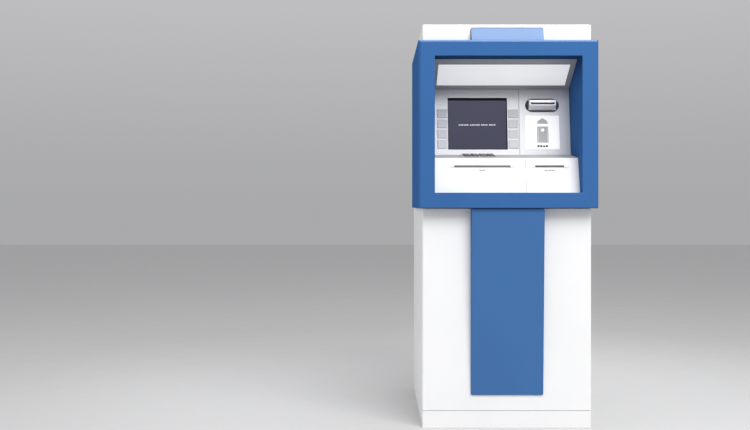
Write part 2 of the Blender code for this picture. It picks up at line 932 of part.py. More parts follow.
def unit_chassis():
    """The tray that carries the user unit, with a runner down each side."""
    chassis = block(
        "unit_chassis",
        (-CHASSIS_HALF, CHASSIS_FRONT, CHASSIS_FOOT),
        (CHASSIS_HALF, CHASSIS_REAR, CHASSIS_HEAD),
    )
    inside = block(
        "inside",
        (-CHASSIS_HALF + SHEET, CHASSIS_FRONT - PAST, CHASSIS_FOOT + SHEET),
        (CHASSIS_HALF - SHEET, CHASSIS_REAR + PAST, CHASSIS_HEAD + PAST),
    )
    carve(chassis, inside)
    for sign in (-1, 1):
        runner_x = sorted((sign * (CHASSIS_HALF - SHEET / 2), sign * RUNNER_EDGE))
        runner = block(
            "runner",
            (runner_x[0], RUNNER_FRONT, RAIL_FOOT + RAIL_LIP + 2 * FINE_FIT),
            (runner_x[1], CHASSIS_REAR, RAIL_HEAD - RAIL_LIP - 2 * FINE_FIT),
        )
        fuse(chassis, runner)
    finish(chassis, "zinc_steel")


def slide_rail(side):
    """A channel bolted to the cabinet side, open towards the runner."""
    sign = -1 if side == "left" else 1
    rail_x = sorted((sign * (HALF - SHEET - FIT), sign * (RUNNER_EDGE - RAIL_WRAP)))
    rail = block(
        "slide_rail_" + side,
        (rail_x[0], RAIL_FRONT, RAIL_FOOT),
        (rail_x[1], RAIL_REAR, RAIL_HEAD),
    )
    groove_x = sorted((sign * (RUNNER_EDGE + RAIL_GAP), sign * (RUNNER_EDGE - PAST)))
    groove = block(
        "groove",
        (groove_x[0], RAIL_FRONT - PAST, RAIL_FOOT + RAIL_LIP),
        (groove_x[1], RAIL_REAR + PAST, RAIL_HEAD - RAIL_LIP),
    )
    carve(rail, groove)
    finish(rail, "zinc_steel")


def canopy_housing():
    frame = face_frame(CANOPY_FACE)
    length = face_length(CANOPY_FACE)
    housing = block(
        "canopy_housing",
        (-INNER_HALF, FIT, -CANOPY_THICKNESS),
        (INNER_HALF, length, 0),
        frame,
    )
    window = block(
        "window",
        (-LIGHT_HALF - FIT, LIGHT_REAR - FIT, 2 * SHEET - CANOPY_THICKNESS),
        (LIGHT_HALF + FIT, LIGHT_FRONT + FIT, PAST),
        frame,
    )
    carve(housing, window)
    finish(housing, "canopy_grey")


def canopy_diffuser():
    diffuser = block(
        "canopy_diffuser",
        (-LIGHT_HALF, LIGHT_REAR, -DIFFUSER_SINK - DIFFUSER_THICKNESS),
        (LIGHT_HALF, LIGHT_FRONT, -DIFFUSER_SINK),
        face_frame(CANOPY_FACE),
    )
    finish(diffuser, "diffuser_white")


def function_key_spots():
    """(name, x, distance up the fascia) of each function key."""
    for side, x in KEY_COLUMNS.items():
        for row in range(KEY_ROWS):
            spot = up_face(FASCIA_FACE, KEY_TOP_Z - row * KEY_PITCH)
            yield f"function_key_{side}_{row + 1}", x, spot


def screen_fascia():
    frame = face_frame(FASCIA_FACE)
    fascia = block(
        "screen_fascia",
        (-INNER_HALF, -FASCIA_LAP, -FASCIA_THICKNESS),
        (MODULE_SEAM_X - FINE_FIT, face_length(FASCIA_FACE) - FIT, 0),
        frame,
    )
    screen = block(
        "screen",
        (SCREEN_LEFT, up_face(FASCIA_FACE, SCREEN_FOOT), -PAST),
        (SCREEN_RIGHT, up_face(FASCIA_FACE, SCREEN_HEAD), PAST),
        frame,
    )
    carve(fascia, screen)
    for _, x, spot in function_key_spots():
        half_x = KEY_WIDTH / 2 + KEY_CLEARANCE
        half_y = KEY_HEIGHT / 2 + KEY_CLEARANCE
        pocket = block(
            "pocket",
            (x - half_x, spot - half_y, -KEY_DEPTH - KEY_TRAVEL),
            (x + half_x, spot + half_y, PAST),
            frame,
        )
        carve(fascia, pocket)
    finish(fascia, "fascia_silver")


def display_panel():
    face = -FASCIA_THICKNESS - FINE_FIT
    foot = up_face(FASCIA_FACE, SCREEN_FOOT) - DISPLAY_LAP
    head = up_face(FASCIA_FACE, SCREEN_HEAD) + DISPLAY_LAP
    panel = block(
        "display_panel",
        (SCREEN_LEFT - DISPLAY_LAP, foot, face - DISPLAY_THICKNESS),
        (SCREEN_RIGHT + DISPLAY_LAP, head, face),
        face_frame(FASCIA_FACE),
    )
    finish(panel, "display_dark")


def function_keys():
    frame = face_frame(FASCIA_FACE)
    for name, x, spot in function_key_spots():
        key = block(
            name,
            (-KEY_WIDTH / 2, -KEY_HEIGHT / 2, -KEY_DEPTH),
            (KEY_WIDTH / 2, KEY_HEIGHT / 2, KEY_PROUD),
        )
        round_edges(key, KEY_ROUND, None, 2)
        key.matrix_world = frame @ Matrix.Translation((x, spot, 0))
        finish(key, "key_grey")


def slot_tool(centre_x, width, foot, height):
    """A level slot from the user's side inwards."""
    return block(
        "slot",
        (centre_x - width / 2, -0.5, foot),
        (centre_x + width / 2, 0.0, foot + height),
    )


def card_fascia():
    fascia = block(
        "card_fascia",
        (MODULE_SEAM_X + FINE_FIT, -FASCIA_LAP, -FASCIA_THICKNESS),
        (INNER_HALF, face_length(FASCIA_FACE) - FIT, 0),
        face_frame(FASCIA_FACE),
    )
    slot = slot_tool(CARD_X, SLOT_WIDTH, SLOT_Z - SLOT_HEIGHT / 2, SLOT_HEIGHT)
    carve(fascia, slot)
    finish(fascia, "fascia_silver")


def pill(name, width, height, centre, low, high, frame, shrink=0.0):
    """A round-ended plate on a leaning face, its outer edge drawn in by shrink at the top."""
    points = []
    x, y = centre
    steps = 12
    for z, inset in ((low, 0.0), (high - shrink, 0.0), (high, shrink)):
        radius = height / 2 - inset
        reach = width / 2 - height / 2
        for side in (-1, 1):
            for step in range(steps + 1):
                angle = math.pi * (step / steps - 0.5)
                points.append(
                    (
                        x + side * (reach + radius * math.cos(angle)),
                        y + radius * math.sin(angle),
                        z,
                    )
                )
    return hull(name, points, frame)


def card_bezel():
    """A metal ring round a raised mouth with a sloping chin, and a funnel into the card slot."""
    frame = face_frame(FASCIA_FACE)
    middle = up_face(FASCIA_FACE, BEZEL_Z)
    centre = (CARD_X, middle)
    bezel = pill(
        "card_bezel",
        BEZEL_WIDTH,
        BEZEL_HEIGHT,
        centre,
        FIT,
        BEZEL_PROUD,
        frame,
        shrink=BEZEL_RIM / 2,
    )
    well = pill(
        "well",
        BEZEL_WIDTH - 2 * BEZEL_RIM,
        BEZEL_HEIGHT - 2 * BEZEL_RIM,
        centre,
        BEZEL_PROUD / 3,
        PAST,
        frame,
    )
    carve(bezel, well)
    foot = middle - MOUTH_HALF_HEIGHT
    head = middle + MOUTH_HALF_HEIGHT
    profile = [
        (foot, BEZEL_PROUD / 4),
        (foot, BEZEL_PROUD),
        (foot + CHIN, MOUTH_PROUD),
        (head, MOUTH_PROUD),
        (head, BEZEL_PROUD / 4),
    ]
    mouth = prism("mouth", profile, CARD_X - MOUTH_HALF, CARD_X + MOUTH_HALF, frame)
    round_edges(mouth, MOUTH_ROUND, above=BEZEL_PROUD / 2)
    fuse(bezel, mouth)
    slot_y = up_face(FASCIA_FACE, SLOT_Z)
    funnel = hull(
        "funnel",
        [
            (CARD_X + side * reach, slot_y + end * rise, z)
            for side in (-1, 1)
            for end in (-1, 1)
            for reach, rise, z in (
                (SLOT_WIDTH / 2, SLOT_HEIGHT / 3, MOUTH_PROUD - FUNNEL),
                (SLOT_WIDTH / 2 + FUNNEL, SLOT_HEIGHT / 3 + FUNNEL / 2, MOUTH_PROUD + FIT),
            )
        ],
        frame,
    )
    carve(bezel, funnel)
    slot = slot_tool(CARD_X, SLOT_WIDTH, SLOT_Z - SLOT_HEIGHT / 2, SLOT_HEIGHT)
    carve(bezel, slot)
    finish(bezel, "bezel_metal")


def card_placard():
    placard = block(
        "card_placard",
        (PLACARD_LEFT, up_face(FASCIA_FACE, PLACARD_FOOT), FIT),
        (PLACARD_RIGHT, up_face(FASCIA_FACE, PLACARD_HEAD), FIT + PLACARD_THICKNESS),
        face_frame(FASCIA_FACE),
    )
    round_edges(placard, PLACARD_THICKNESS / 3, None, 1)
    finish(placard, "placard_white")


def card_reader():
    reader = block(
        "card_reader",
        (CARD_X - READER_HALF, READER_FRONT, READER_FOOT),
        (CARD_X + READER_HALF, READER_REAR, READER_HEAD),
    )
    round_edges(reader, CASE_ROUND, "y", 1)
    half_x = SLOT_WIDTH / 2 + FINE_FIT
    half_z = SLOT_HEIGHT / 2 + FINE_FIT
    throat = block(
        "throat",
        (CARD_X - half_x, READER_FRONT - PAST, SLOT_Z - half_z),
        (CARD_X + half_x, READER_FRONT + THROAT_DEPTH, SLOT_Z + half_z),
    )
    carve(reader, throat)
    finish(reader, "mechanism_black")


def bent_sheet(path, thickness):
    """The closed outline of a bent sheet: its outer path, then the same path set back."""
    inner = []
    for i, (y, z) in enumerate(path):
        before = path[max(i - 1, 0)]
        after = path[min(i + 1, len(path) - 1)]
        legs = []
        for a, b in ((before, (y, z)), ((y, z), after)):
            if a != b:
                run = Vector((b[0] - a[0], b[1] - a[1])).normalized()
                legs.append(Vector((-run.y, run.x)))
        middle = sum(legs, Vector((0, 0))).normalized()
        reach = thickness / middle.dot(legs[0])
        inner.append((y + middle.x * reach, z + middle.y * reach))
    return path + inner[::-1]


def bend(before, corner, after, radius, steps=4):
    """The points of a rounded corner between two straight runs."""
    corner = Vector(corner)
    to_before = (Vector(before) - corner).normalized()
    to_after = (Vector(after) - corner).normalized()
    half_angle = to_before.angle(to_after) / 2
    centre = corner + (to_before + to_after).normalized() * radius / math.sin(half_angle)
    start = corner + to_before * radius / math.tan(half_angle)
    end = corner + to_after * radius / math.tan(half_angle)
    points = []
    for step in range(steps + 1):
        spoke = (start - centre).lerp(end - centre, step / steps).normalized()
        points.append(tuple(centre + spoke * radius))
    return points


def console(name, left, right):
    """The shelf and the leaning panel below it, as one bent part."""
    shelf_rear = FASCIA_FACE[0]
    panel_foot = PANEL_FACE[0]
    path = [shelf_rear, *bend(shelf_rear, PANEL_FACE[1], panel_foot, CONSOLE_BEND), panel_foot]
    part = prism(name, bent_sheet(path, PANEL_THICKNESS), left, right)
    behind = block(
        "behind",
        (-HALF, -2 * PAST, -4 * PAST),
        (HALF, 2 * PAST, FIT),
        face_frame(FASCIA_FACE),
    )
    below = block(
        "below",
        (-HALF, SURROUND_FRONT, OPENING_FOOT - 2 * PAST),
        (HALF, RECESS_REAR, OPENING_FOOT + FIT),
    )
    carve(part, behind, below)
    return part


def scooped_slot(part, centre_x, width):
    """Cuts a level slot through a console's panel, and a flared scoop below it."""
    mouth_y = up_face(PANEL_FACE, MOUTH_FOOT)
    scoop = hull(
        "scoop",
        [
            (centre_x + side * reach, mouth_y + rise, z)
            for side in (-1, 1)
            for reach, rise, z in (
                (width / 2, SCOOP_LAP, -SCOOP_DEPTH),
                (width / 2, SCOOP_LAP, SHEET),
                (width / 2 + SCOOP_FLARE, -SCOOP_DROP, 0),
                (width / 2 + SCOOP_FLARE, -SCOOP_DROP, SHEET),
            )
        ],
        face_frame(PANEL_FACE),
    )
    carve(part, scoop)
    carve(part, slot_tool(centre_x, width, MOUTH_FOOT, MOUTH_HEIGHT))


def console_left():
    part = console("console_left", -INNER_HALF, MODULE_SEAM_X - FINE_FIT)
    scooped_slot(part, CASH_X, CASH_WIDTH)
    pad_hole = block(
        "pad_hole",
        (PAD_CENTRE_X - PAD_WIDTH / 2 - FIT, PAD_FOOT - FIT, -PAST),
        (PAD_CENTRE_X + PAD_WIDTH / 2 + FIT, PAD_FOOT + PAD_LENGTH + FIT, PAST),
        face_frame(SHELF_FACE),
    )
    carve(part, pad_hole)
    finish(part, "console_white")


def console_right():
    part = console("console_right", MODULE_SEAM_X + FINE_FIT, INNER_HALF)
    scooped_slot(part, RECEIPT_X, RECEIPT_WIDTH)
    finish(part, "console_white")


def pin_key_spots():
    """(name, x, distance up the shelf) of each key of the keypad, from the user's edge."""
    for row, names in enumerate(PIN_NAMES):
        for column, name in enumerate(names):
            x = PAD_CENTRE_X + (column - 1.5) * PIN_PITCH_X
            y = PAD_FOOT + PAD_LENGTH / 2 + (row - 1.5) * PIN_PITCH_Y
            yield "pin_key_" + name, x, y


def keypad_housing():
    frame = face_frame(SHELF_FACE)
    housing = block(
        "keypad_housing",
        (PAD_CENTRE_X - PAD_WIDTH / 2, PAD_FOOT, -PAD_DEPTH),
        (PAD_CENTRE_X + PAD_WIDTH / 2, PAD_FOOT + PAD_LENGTH, PAD_PROUD),
        frame,
    )
    for _, x, y in pin_key_spots():
        half_x = PIN_WIDTH / 2 + KEY_CLEARANCE
        half_y = PIN_LENGTH / 2 + KEY_CLEARANCE
        pocket = block(
            "pocket",
            (x - half_x, y - half_y, -PIN_POCKET),
            (x + half_x, y + half_y, PAST),
            frame,
        )
        carve(housing, pocket)
    finish(housing, "pad_steel")


def pin_keys():
    frame = face_frame(SHELF_FACE)
    for name, x, y in pin_key_spots():
        key = block(
            name,
            (-PIN_WIDTH / 2, -PIN_LENGTH / 2, -PIN_DEPTH),
            (PIN_WIDTH / 2, PIN_LENGTH / 2, PIN_PROUD),
        )
        round_edges(key, PIN_ROUND, None, 2)
        key.matrix_world = frame @ Matrix.Translation((x, y, 0))
        finish(key, "pin_key_dark")


def cash_shutter():
    """The plate that closes the note slot from behind and lifts to open it."""
    foot = up_face(PANEL_FACE, MOUTH_FOOT) - SHUTTER_LAP
    head = up_face(PANEL_FACE, MOUTH_FOOT + MOUTH_HEIGHT) + SHUTTER_LAP
    reach = CASH_WIDTH / 2 + 2 * SHUTTER_LAP
    front = -PANEL_THICKNESS - FINE_FIT
    plate = block(
        "cash_shutter",
        (CASH_X - reach, foot, front - SHUTTER_THICKNESS),
        (CASH_X + reach, head, front),
        face_frame(PANEL_FACE),
    )
    finish(plate, "zinc_steel")


def slotted_box(name, low, high, slot_x, slot_width):
    """A mechanism's box with a level mouth behind a slot of the console."""
    box = block(name, low, high)
    round_edges(box, CASE_ROUND, "y", 1)
    reach = slot_width / 2 + MOUTH_CLEARANCE
    mouth = block(
        "mouth",
        (slot_x - reach, low[1] - PAST, MOUTH_FOOT - MOUTH_CLEARANCE),
        (slot_x + reach, low[1] + MOUTH_DEPTH, MOUTH_FOOT + MOUTH_HEIGHT + MOUTH_CLEARANCE),
    )
    carve(box, mouth)
    finish(box, "mechanism_black")


def note_presenter():
    slotted_box(
        "note_presenter",
        (CASH_X - PRESENTER_HALF, MECHANISM_FRONT, PRESENTER_FOOT),
        (CASH_X + PRESENTER_HALF, PRESENTER_REAR, PRESENTER_HEAD),
        CASH_X,
        CASH_WIDTH,
    )


def receipt_printer():
    slotted_box(
        "receipt_printer",
        (RECEIPT_X - PRINTER_HALF, MECHANISM_FRONT, PRINTER_FOOT),
        (RECEIPT_X + PRINTER_HALF, PRINTER_REAR, PRINTER_HEAD),
        RECEIPT_X,
        RECEIPT_WIDTH,
    )


def pc_core():
    floor = CHASSIS_FOOT + SHEET + FIT
    head = floor + CORE_HEIGHT
    core = block("pc_core", (*CORE_LOW, floor), (*CORE_HIGH, head))
    round_edges(core, SHEET, None, 1)
    inside = block(
        "inside",
        (CORE_LOW[0] + SHEET, CORE_LOW[1] + SHEET, floor - PAST),
        (CORE_HIGH[0] - SHEET, CORE_HIGH[1] - SHEET, head - SHEET),
    )
    carve(core, inside)
    finish(core, "safe_grey")


def build():
    clear_scene()
    make_materials()
    base_plinth()
    cabinet_side("left")
    cabinet_side("right")
    rear_panel()
    cable_gland()
    top_cover()
    top_trim()
    front_door()
    door_trim()
    door_lock()
    safe_body()
    safe_door()
    safe_dial()
    safe_handle()
    cash_dispenser()
    for level in CASSETTE_FEET:
        cash_cassette(level)
    slide_rail("left")
    slide_rail("right")
    surround_frame()
    unit_chassis()
    canopy_housing()
    canopy_diffuser()
    screen_fascia()
    display_panel()
    function_keys()
    card_fascia()
    card_bezel()
    card_placard()
    card_reader()
    console_left()
    console_right()
    keypad_housing()
    pin_keys()
    cash_shutter()
    note_presenter()
    receipt_printer()
    pc_core()


build()
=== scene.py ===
import math

import bmesh
import bpy
from mathutils import Matrix, Vector


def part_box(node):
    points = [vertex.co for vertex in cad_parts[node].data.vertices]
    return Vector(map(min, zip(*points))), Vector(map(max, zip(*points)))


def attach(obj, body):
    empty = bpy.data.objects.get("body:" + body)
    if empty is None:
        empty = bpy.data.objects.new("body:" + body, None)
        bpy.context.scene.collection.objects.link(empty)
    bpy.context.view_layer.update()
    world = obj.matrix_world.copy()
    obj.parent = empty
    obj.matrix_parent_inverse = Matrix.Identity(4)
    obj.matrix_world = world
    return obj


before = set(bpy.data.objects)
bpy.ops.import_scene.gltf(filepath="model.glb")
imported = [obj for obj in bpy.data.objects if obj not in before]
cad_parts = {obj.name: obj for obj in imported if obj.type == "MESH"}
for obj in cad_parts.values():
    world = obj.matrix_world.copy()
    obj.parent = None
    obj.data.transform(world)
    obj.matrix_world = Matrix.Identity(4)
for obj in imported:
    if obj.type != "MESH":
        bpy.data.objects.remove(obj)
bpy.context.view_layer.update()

# Lengths repeated from the CAD source, in metres
HALF = 0.300
FRONT = -0.3275
REAR = 0.3725
DOOR_FOOT = 0.0605
DOOR_HEAD = 0.7775
DOOR_SKIN = 0.0025
FASCIA_FACE = ((-0.1865, 0.9766), (-0.1525, 1.2246))
SHELF_FACE = ((-0.3055, 0.9590), (-0.1865, 0.9766))
PANEL_FACE = ((-0.3375, 0.8340), (-0.3055, 0.9590))
PANEL_THICKNESS = 0.005
SCREEN_LEFT = -0.197
SCREEN_RIGHT = 0.0245
SCREEN_FOOT = 0.996
SCREEN_HEAD = 1.191
DISPLAY_DEPTH = 0.0125
CARD_X = 0.155
BEZEL_Z = 1.1625
MOUTH_HALF_WIDTH = 0.051
MOUTH_HALF_HEIGHT = 0.018
SLOT_Z = 1.1675
SLOT_WIDTH = 0.086
PLACARD_TOP = 0.0015
SLOTS_FOOT = 0.9240
CASH_X = -0.0855
CASH_WIDTH = 0.2016
RECEIPT_X = 0.155
RECEIPT_WIDTH = 0.103
PIN_PROUD = 0.0065
CREST_HALF = 0.1275
BAND_FOOT = 1.3725
CREST_HEAD = 1.4190
SAFE_FACE = -0.2533
DIAL_AT = (0.100, 0.520)
DIAL_FACE = SAFE_FACE - 0.0125

# The height of the tube behind the canopy's diffuser, and the thickness that a print stands proud
TUBE_Z = 1.268
INK_THICKNESS = 0.00012

# Directions that some finishes change with
ACROSS = (1.0, 0.0, 0.0)
UPWARD = (0.0, 0.0, 1.0)
TO_CHAMFER = (0.0, -0.707, 0.707)


# Frames and meshes

def face_frame(face):
    """A frame on a leaning face: x to the right, y up the face, z out of it."""
    (low_y, low_z), (high_y, high_z) = face
    right = Vector((1, 0, 0))
    up = Vector((0, high_y - low_y, high_z - low_z)).normalized()
    matrix = Matrix((right, up, right.cross(up))).transposed().to_4x4()
    matrix.translation = (0, low_y, low_z)
    return matrix


def up_face(face, level):
    """How far up a leaning face a height above the floor is."""
    return (level - face[0][1]) * math.dist(*face) / (face[1][1] - face[0][1])


def piece(name, shape, matrix, material, body):
    """Turns a bmesh into a piece of the object that rides on a body."""
    bmesh.ops.recalc_face_normals(shape, faces=shape.faces)
    if matrix:
        bmesh.ops.transform(shape, matrix=matrix, verts=shape.verts)
    mesh = bpy.data.meshes.new(name)
    shape.to_mesh(mesh)
    shape.free()
    item = bpy.data.objects.new(name, mesh)
    bpy.context.scene.collection.objects.link(item)
    mesh.materials.append(material)
    mesh.shade_smooth()
    mesh.set_sharp_from_angle(angle=math.radians(35))
    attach(item, body)
    return item


def add_plate(shape, outline, low, high):
    """Draws a flat outline out into a plate between two heights."""
    under = [shape.verts.new((x, y, low)) for x, y in outline]
    over = [shape.verts.new((x, y, high)) for x, y in outline]
    shape.faces.new(under[::-1])
    shape.faces.new(over)
    for i in range(len(outline)):
        j = (i + 1) % len(outline)
        shape.faces.new((under[i], under[j], over[j], over[i]))


def add_box(shape, low, high, edge=0.0):
    """A box between two corners, with its edges rounded by edge."""
    size = [b - a for a, b in zip(low, high)]
    middle = [(a + b) / 2 for a, b in zip(low, high)]
    matrix = Matrix.Translation(middle) @ Matrix.Diagonal((*size, 1.0))
    made = bmesh.ops.create_cube(shape, size=1.0, matrix=matrix)
    if edge:
        edges = {e for v in made["verts"] for e in v.link_edges}
        bmesh.ops.bevel(
            shape,
            geom=list(edges),
            offset=edge,
            segments=2,
            profile=0.5,
            affect="EDGES",
        )


def rectangle(left, foot, right, head):
    return [(left, foot), (right, foot), (right, head), (left, head)]


def add_ring(shape, outer, inner, low, high):
    """A frame-shaped plate between two outlines that have as many points."""
    rows = []
    for outline, level in ((outer, low), (outer, high), (inner, high), (inner, low)):
        rows.append([shape.verts.new((x, y, level)) for x, y in outline])
    count = len(outer)
    for a in range(4):
        first, second = rows[a], rows[(a + 1) % 4]
        for i in range(count):
            j = (i + 1) % count
            shape.faces.new((first[i], first[j], second[j], second[i]))


# Materials

class Paint:
    """A node material under construction. Its patterns run on object coordinates, in metres."""

    def __init__(self, name, colour, roughness, metallic=0.0):
        self.material = bpy.data.materials.new(name)
        self.material.use_nodes = True
        self.tree = self.material.node_tree
        self.shader = self.tree.nodes["Principled BSDF"]
        self.shader.inputs["Base Color"].default_value = (*colour, 1.0)
        self.shader.inputs["Roughness"].default_value = roughness
        self.shader.inputs["Metallic"].default_value = metallic
        self.roughness = roughness
        self.coordinates = self.tree.nodes.new("ShaderNodeTexCoord").outputs["Object"]

    def node(self, kind, inputs=None, **settings):
        made = self.tree.nodes.new(kind)
        for name, value in settings.items():
            setattr(made, name, value)
        for name, value in (inputs or {}).items():
            if isinstance(value, bpy.types.NodeSocket):
                self.tree.links.new(value, made.inputs[name])
            else:
                made.inputs[name].default_value = value
        return made

    def math(self, operation, first, second=0.0, third=0.0):
        return self.node(
            "ShaderNodeMath",
            {0: first, 1: second, 2: third},
            operation=operation,
        ).outputs[0]

    def axis(self, name):
        split = self.node("ShaderNodeSeparateXYZ", {0: self.coordinates})
        return split.outputs[name]

    def facing(self, direction):
        """How far the surface faces along a direction, from -1 to 1."""
        normal = self.node("ShaderNodeNewGeometry").outputs["Normal"]
        return self.node(
            "ShaderNodeVectorMath", {0: normal, 1: direction}, operation="DOT_PRODUCT"
        ).outputs["Value"]

    def stretched(self, scale):
        return self.node(
            "ShaderNodeMapping", {"Vector": self.coordinates, "Scale": scale}
        ).outputs[0]

    def noise(self, scale, detail=2.0, vector=None, roughness=0.5):
        return self.node(
            "ShaderNodeTexNoise",
            {
                "Vector": vector or self.coordinates,
                "Scale": scale,
                "Detail": detail,
                "Roughness": roughness,
            },
        ).outputs["Fac"]

    def cells(self, scale, output="Distance", feature="F1"):
        return self.node(
            "ShaderNodeTexVoronoi",
            {"Vector": self.coordinates, "Scale": scale},
            feature=feature,
        ).outputs[output]

    def span(self, value, low, high, to_low=0.0, to_high=1.0):
        """Maps a value's range onto another, held at both ends."""
        return self.node(
            "ShaderNodeMapRange",
            {
                "Value": value,
                "From Min": low,
                "From Max": high,
                "To Min": to_low,
                "To Max": to_high,
            },
        ).outputs[0]

    def mix(self, factor, first, second):
        made = self.tree.nodes.new("ShaderNodeMix")
        made.data_type = "RGBA"
        for index, value in ((0, factor), (6, first), (7, second)):
            if isinstance(value, bpy.types.NodeSocket):
                self.tree.links.new(value, made.inputs[index])
            elif index:
                made.inputs[index].default_value = (*value, 1.0)
            else:
                made.inputs[index].default_value = value
        return made.outputs[2]

    def feed(self, name, socket):
        """Lets a pattern drive one of the shader's inputs."""
        self.tree.links.new(socket, self.shader.inputs[name])

    def base(self, socket):
        self.feed("Base Color", socket)

    def roughness_swing(self, socket, reach):
        """Roughness either side of the material's own, by a pattern that runs from 0 to 1."""
        return self.span(socket, 0.25, 0.75, self.roughness - reach, self.roughness + reach)

    def vary_roughness(self, socket, reach):
        self.feed("Roughness", self.roughness_swing(socket, reach))

    def bump(self, socket, distance, strength):
        raised = self.node(
            "ShaderNodeBump", {"Height": socket, "Distance": distance, "Strength": strength}
        )
        self.feed("Normal", raised.outputs[0])

    def edges(self, radius):
        """1 along the convex and concave edges, within a radius of them, and 0 away from them."""
        rounded = self.node("ShaderNodeBevel", {"Radius": radius}, samples=6)
        return self.span(self.facing(rounded.outputs[0]), 0.999, 0.93)

    def between(self, axis, low, high, soft):
        """1 between two places on an axis, falling to 0 over a soft rim outside them."""
        middle = (low + high) / 2
        off = self.math("ABSOLUTE", self.math("SUBTRACT", self.axis(axis), middle))
        half = (high - low) / 2
        return self.span(off, half + soft, half)

    def drift(self, colour, reach):
        """The colour with a slow change of tone over the surface."""
        pattern = self.span(self.noise(4.0, 2.0), 0.3, 0.7)
        return self.mix(pattern, shade(colour, 1.0 - reach), shade(colour, 1.0 + reach))

    def handled(self, toned, colour, wear, lift):
        """The toned colour, with patches of the edges worn paler."""
        patches = self.span(self.noise(120.0, 3.0), 0.42, 0.7)
        rub = self.math("MULTIPLY", self.edges(0.0010), patches)
        return self.mix(self.math("MULTIPLY", rub, wear), toned, paler(colour, lift))

    def set(self, **values):
        for name, value in values.items():
            self.shader.inputs[name.replace("_", " ")].default_value = value


def shade(colour, factor):
    return tuple(channel * factor for channel in colour)


def paler(colour, share):
    return tuple(channel + (1.0 - channel) * share for channel in colour)


def powder_coat(name, colour, roughness):
    """Powder coat over folded sheet: orange peel, scuffs by the floor, edges rubbed a little."""
    paint = Paint(name, colour, roughness)
    mottle = paint.span(paint.noise(5.0, 3.0), 0.3, 0.7)
    toned = paint.mix(mottle, shade(colour, 0.985), shade(colour, 1.015))
    streaks = paint.noise(46.0, 5.0, paint.stretched((1.0, 1.0, 0.35)), 0.7)
    near_floor = paint.span(paint.axis("Z"), 0.16, 0.0, 0.0, 0.5)
    scuffs = paint.math("MULTIPLY", paint.span(streaks, 0.66, 0.74), near_floor)
    scuffed = paint.mix(scuffs, toned, shade(colour, 0.55))
    patches = paint.span(paint.noise(90.0, 3.0), 0.5, 0.68)
    rub = paint.math("MULTIPLY", paint.edges(0.0012), patches)
    paint.base(paint.mix(paint.math("MULTIPLY", rub, 0.35), scuffed, shade(colour, 0.7)))
    paint.vary_roughness(paint.noise(22.0, 4.0), 0.06)
    paint.bump(paint.noise(620.0, 1.0), 0.00009, 0.55)
    return paint.material


def moulded_plastic(name, colour, roughness, grain, depth, wear=0.25, shine=0.5):
    """Moulded plastic: fine spark-eroded grain, soft tone drift and slightly polished edges."""
    paint = Paint(name, colour, roughness)
    paint.base(paint.handled(paint.drift(colour, 0.03), colour, wear, 0.16))
    paint.vary_roughness(paint.noise(14.0, 4.0), 0.05)
    paint.bump(paint.noise(grain, 2.0), depth, 0.6)
    paint.set(Specular_IOR_Level=shine)
    return paint.material


def console_moulding(name, colour, roughness):
    """Smooth white moulding, with painted shade greying the upward shelf that the keypad stands on,
    and a duller finish there.
    """
    paint = Paint(name, colour, roughness)
    # Painted shade: upward faces such as the shelf are darkened to half, for the shade of the canopy
    # over them.
    shelf = paint.span(paint.facing(UPWARD), 0.85, 0.975)
    paint.base(paint.mix(shelf, paint.drift(colour, 0.03), shade(colour, 0.5)))
    swing = paint.roughness_swing(paint.noise(14.0, 4.0), 0.05)
    paint.feed("Roughness", paint.math("MULTIPLY_ADD", shelf, 0.5, swing))
    paint.bump(paint.noise(2200.0, 2.0), 0.00002, 0.6)
    return paint.material


def shaded_by_head(paint):
    """1 on downward faces and high on the inner walls of the surround's opening, 0 elsewhere."""
    underside = paint.span(paint.facing(UPWARD), -0.85, -0.98)
    sideways = paint.span(paint.math("ABSOLUTE", paint.facing(ACROSS)), 0.9, 0.99)
    inner_wall = paint.math("MULTIPLY", sideways, paint.between("X", -0.290, 0.290, 0.010))
    high = paint.span(paint.axis("Z"), 1.20, 1.33)
    return paint.math("MAXIMUM", underside, paint.math("MULTIPLY", inner_wall, high))


def blue_moulding(name, colour, roughness):
    """Coloured moulding: dull grain, a glossy top chamfer, darker where the head shades it."""
    paint = Paint(name, colour, roughness)
    worn = paint.handled(paint.drift(colour, 0.025), colour, 0.25, 0.12)
    paint.base(paint.mix(shaded_by_head(paint), worn, shade(colour, 0.5)))
    paint.vary_roughness(paint.noise(14.0, 4.0), 0.05)
    paint.feed("Coat Weight", paint.span(paint.facing(TO_CHAMFER), 0.86, 0.97))
    paint.set(Specular_IOR_Level=0.0, Coat_Roughness=0.22)
    paint.bump(paint.noise(1500.0, 2.0), 0.00006, 0.6)
    return paint.material


def silver_paint(name, colour, roughness):
    """Metallic lacquer: fine flakes under a clear coat, with painted shade darkening it near its
    head, where the canopy shades it.
    """
    paint = Paint(name, colour, roughness, 0.3)
    glint = paint.node("ShaderNodeSeparateColor", {0: paint.cells(2600.0, "Color")}).outputs[0]
    toned = paint.mix(glint, shade(colour, 0.93), shade(colour, 1.07))
    # Painted shade: the last 45 mm below the fascia's head are darkened for the canopy's shade.
    head = FASCIA_FACE[1][1]
    shaded = paint.span(paint.axis("Z"), head - 0.045, head, 0.0, 0.45)
    paint.base(paint.mix(shaded, toned, shade(colour, 0.2)))
    paint.vary_roughness(paint.noise(18.0, 4.0), 0.04)
    paint.set(Coat_Weight=0.15, Coat_Roughness=0.2)
    paint.bump(paint.noise(900.0, 1.0), 0.00004, 0.5)
    return paint.material


def brushed_metal(name, colour, roughness):
    """Brushed metal with its scratches across the machine."""
    paint = Paint(name, colour, roughness, 1.0)
    lines = paint.noise(1.0, 3.0, paint.stretched((2600.0 / 60.0, 2600.0, 2600.0)), 0.6)
    paint.base(paint.mix(paint.span(lines, 0.3, 0.7), shade(colour, 0.86), shade(colour, 1.1)))
    paint.vary_roughness(lines, 0.09)
    paint.bump(lines, 0.00003, 0.5)
    return paint.material


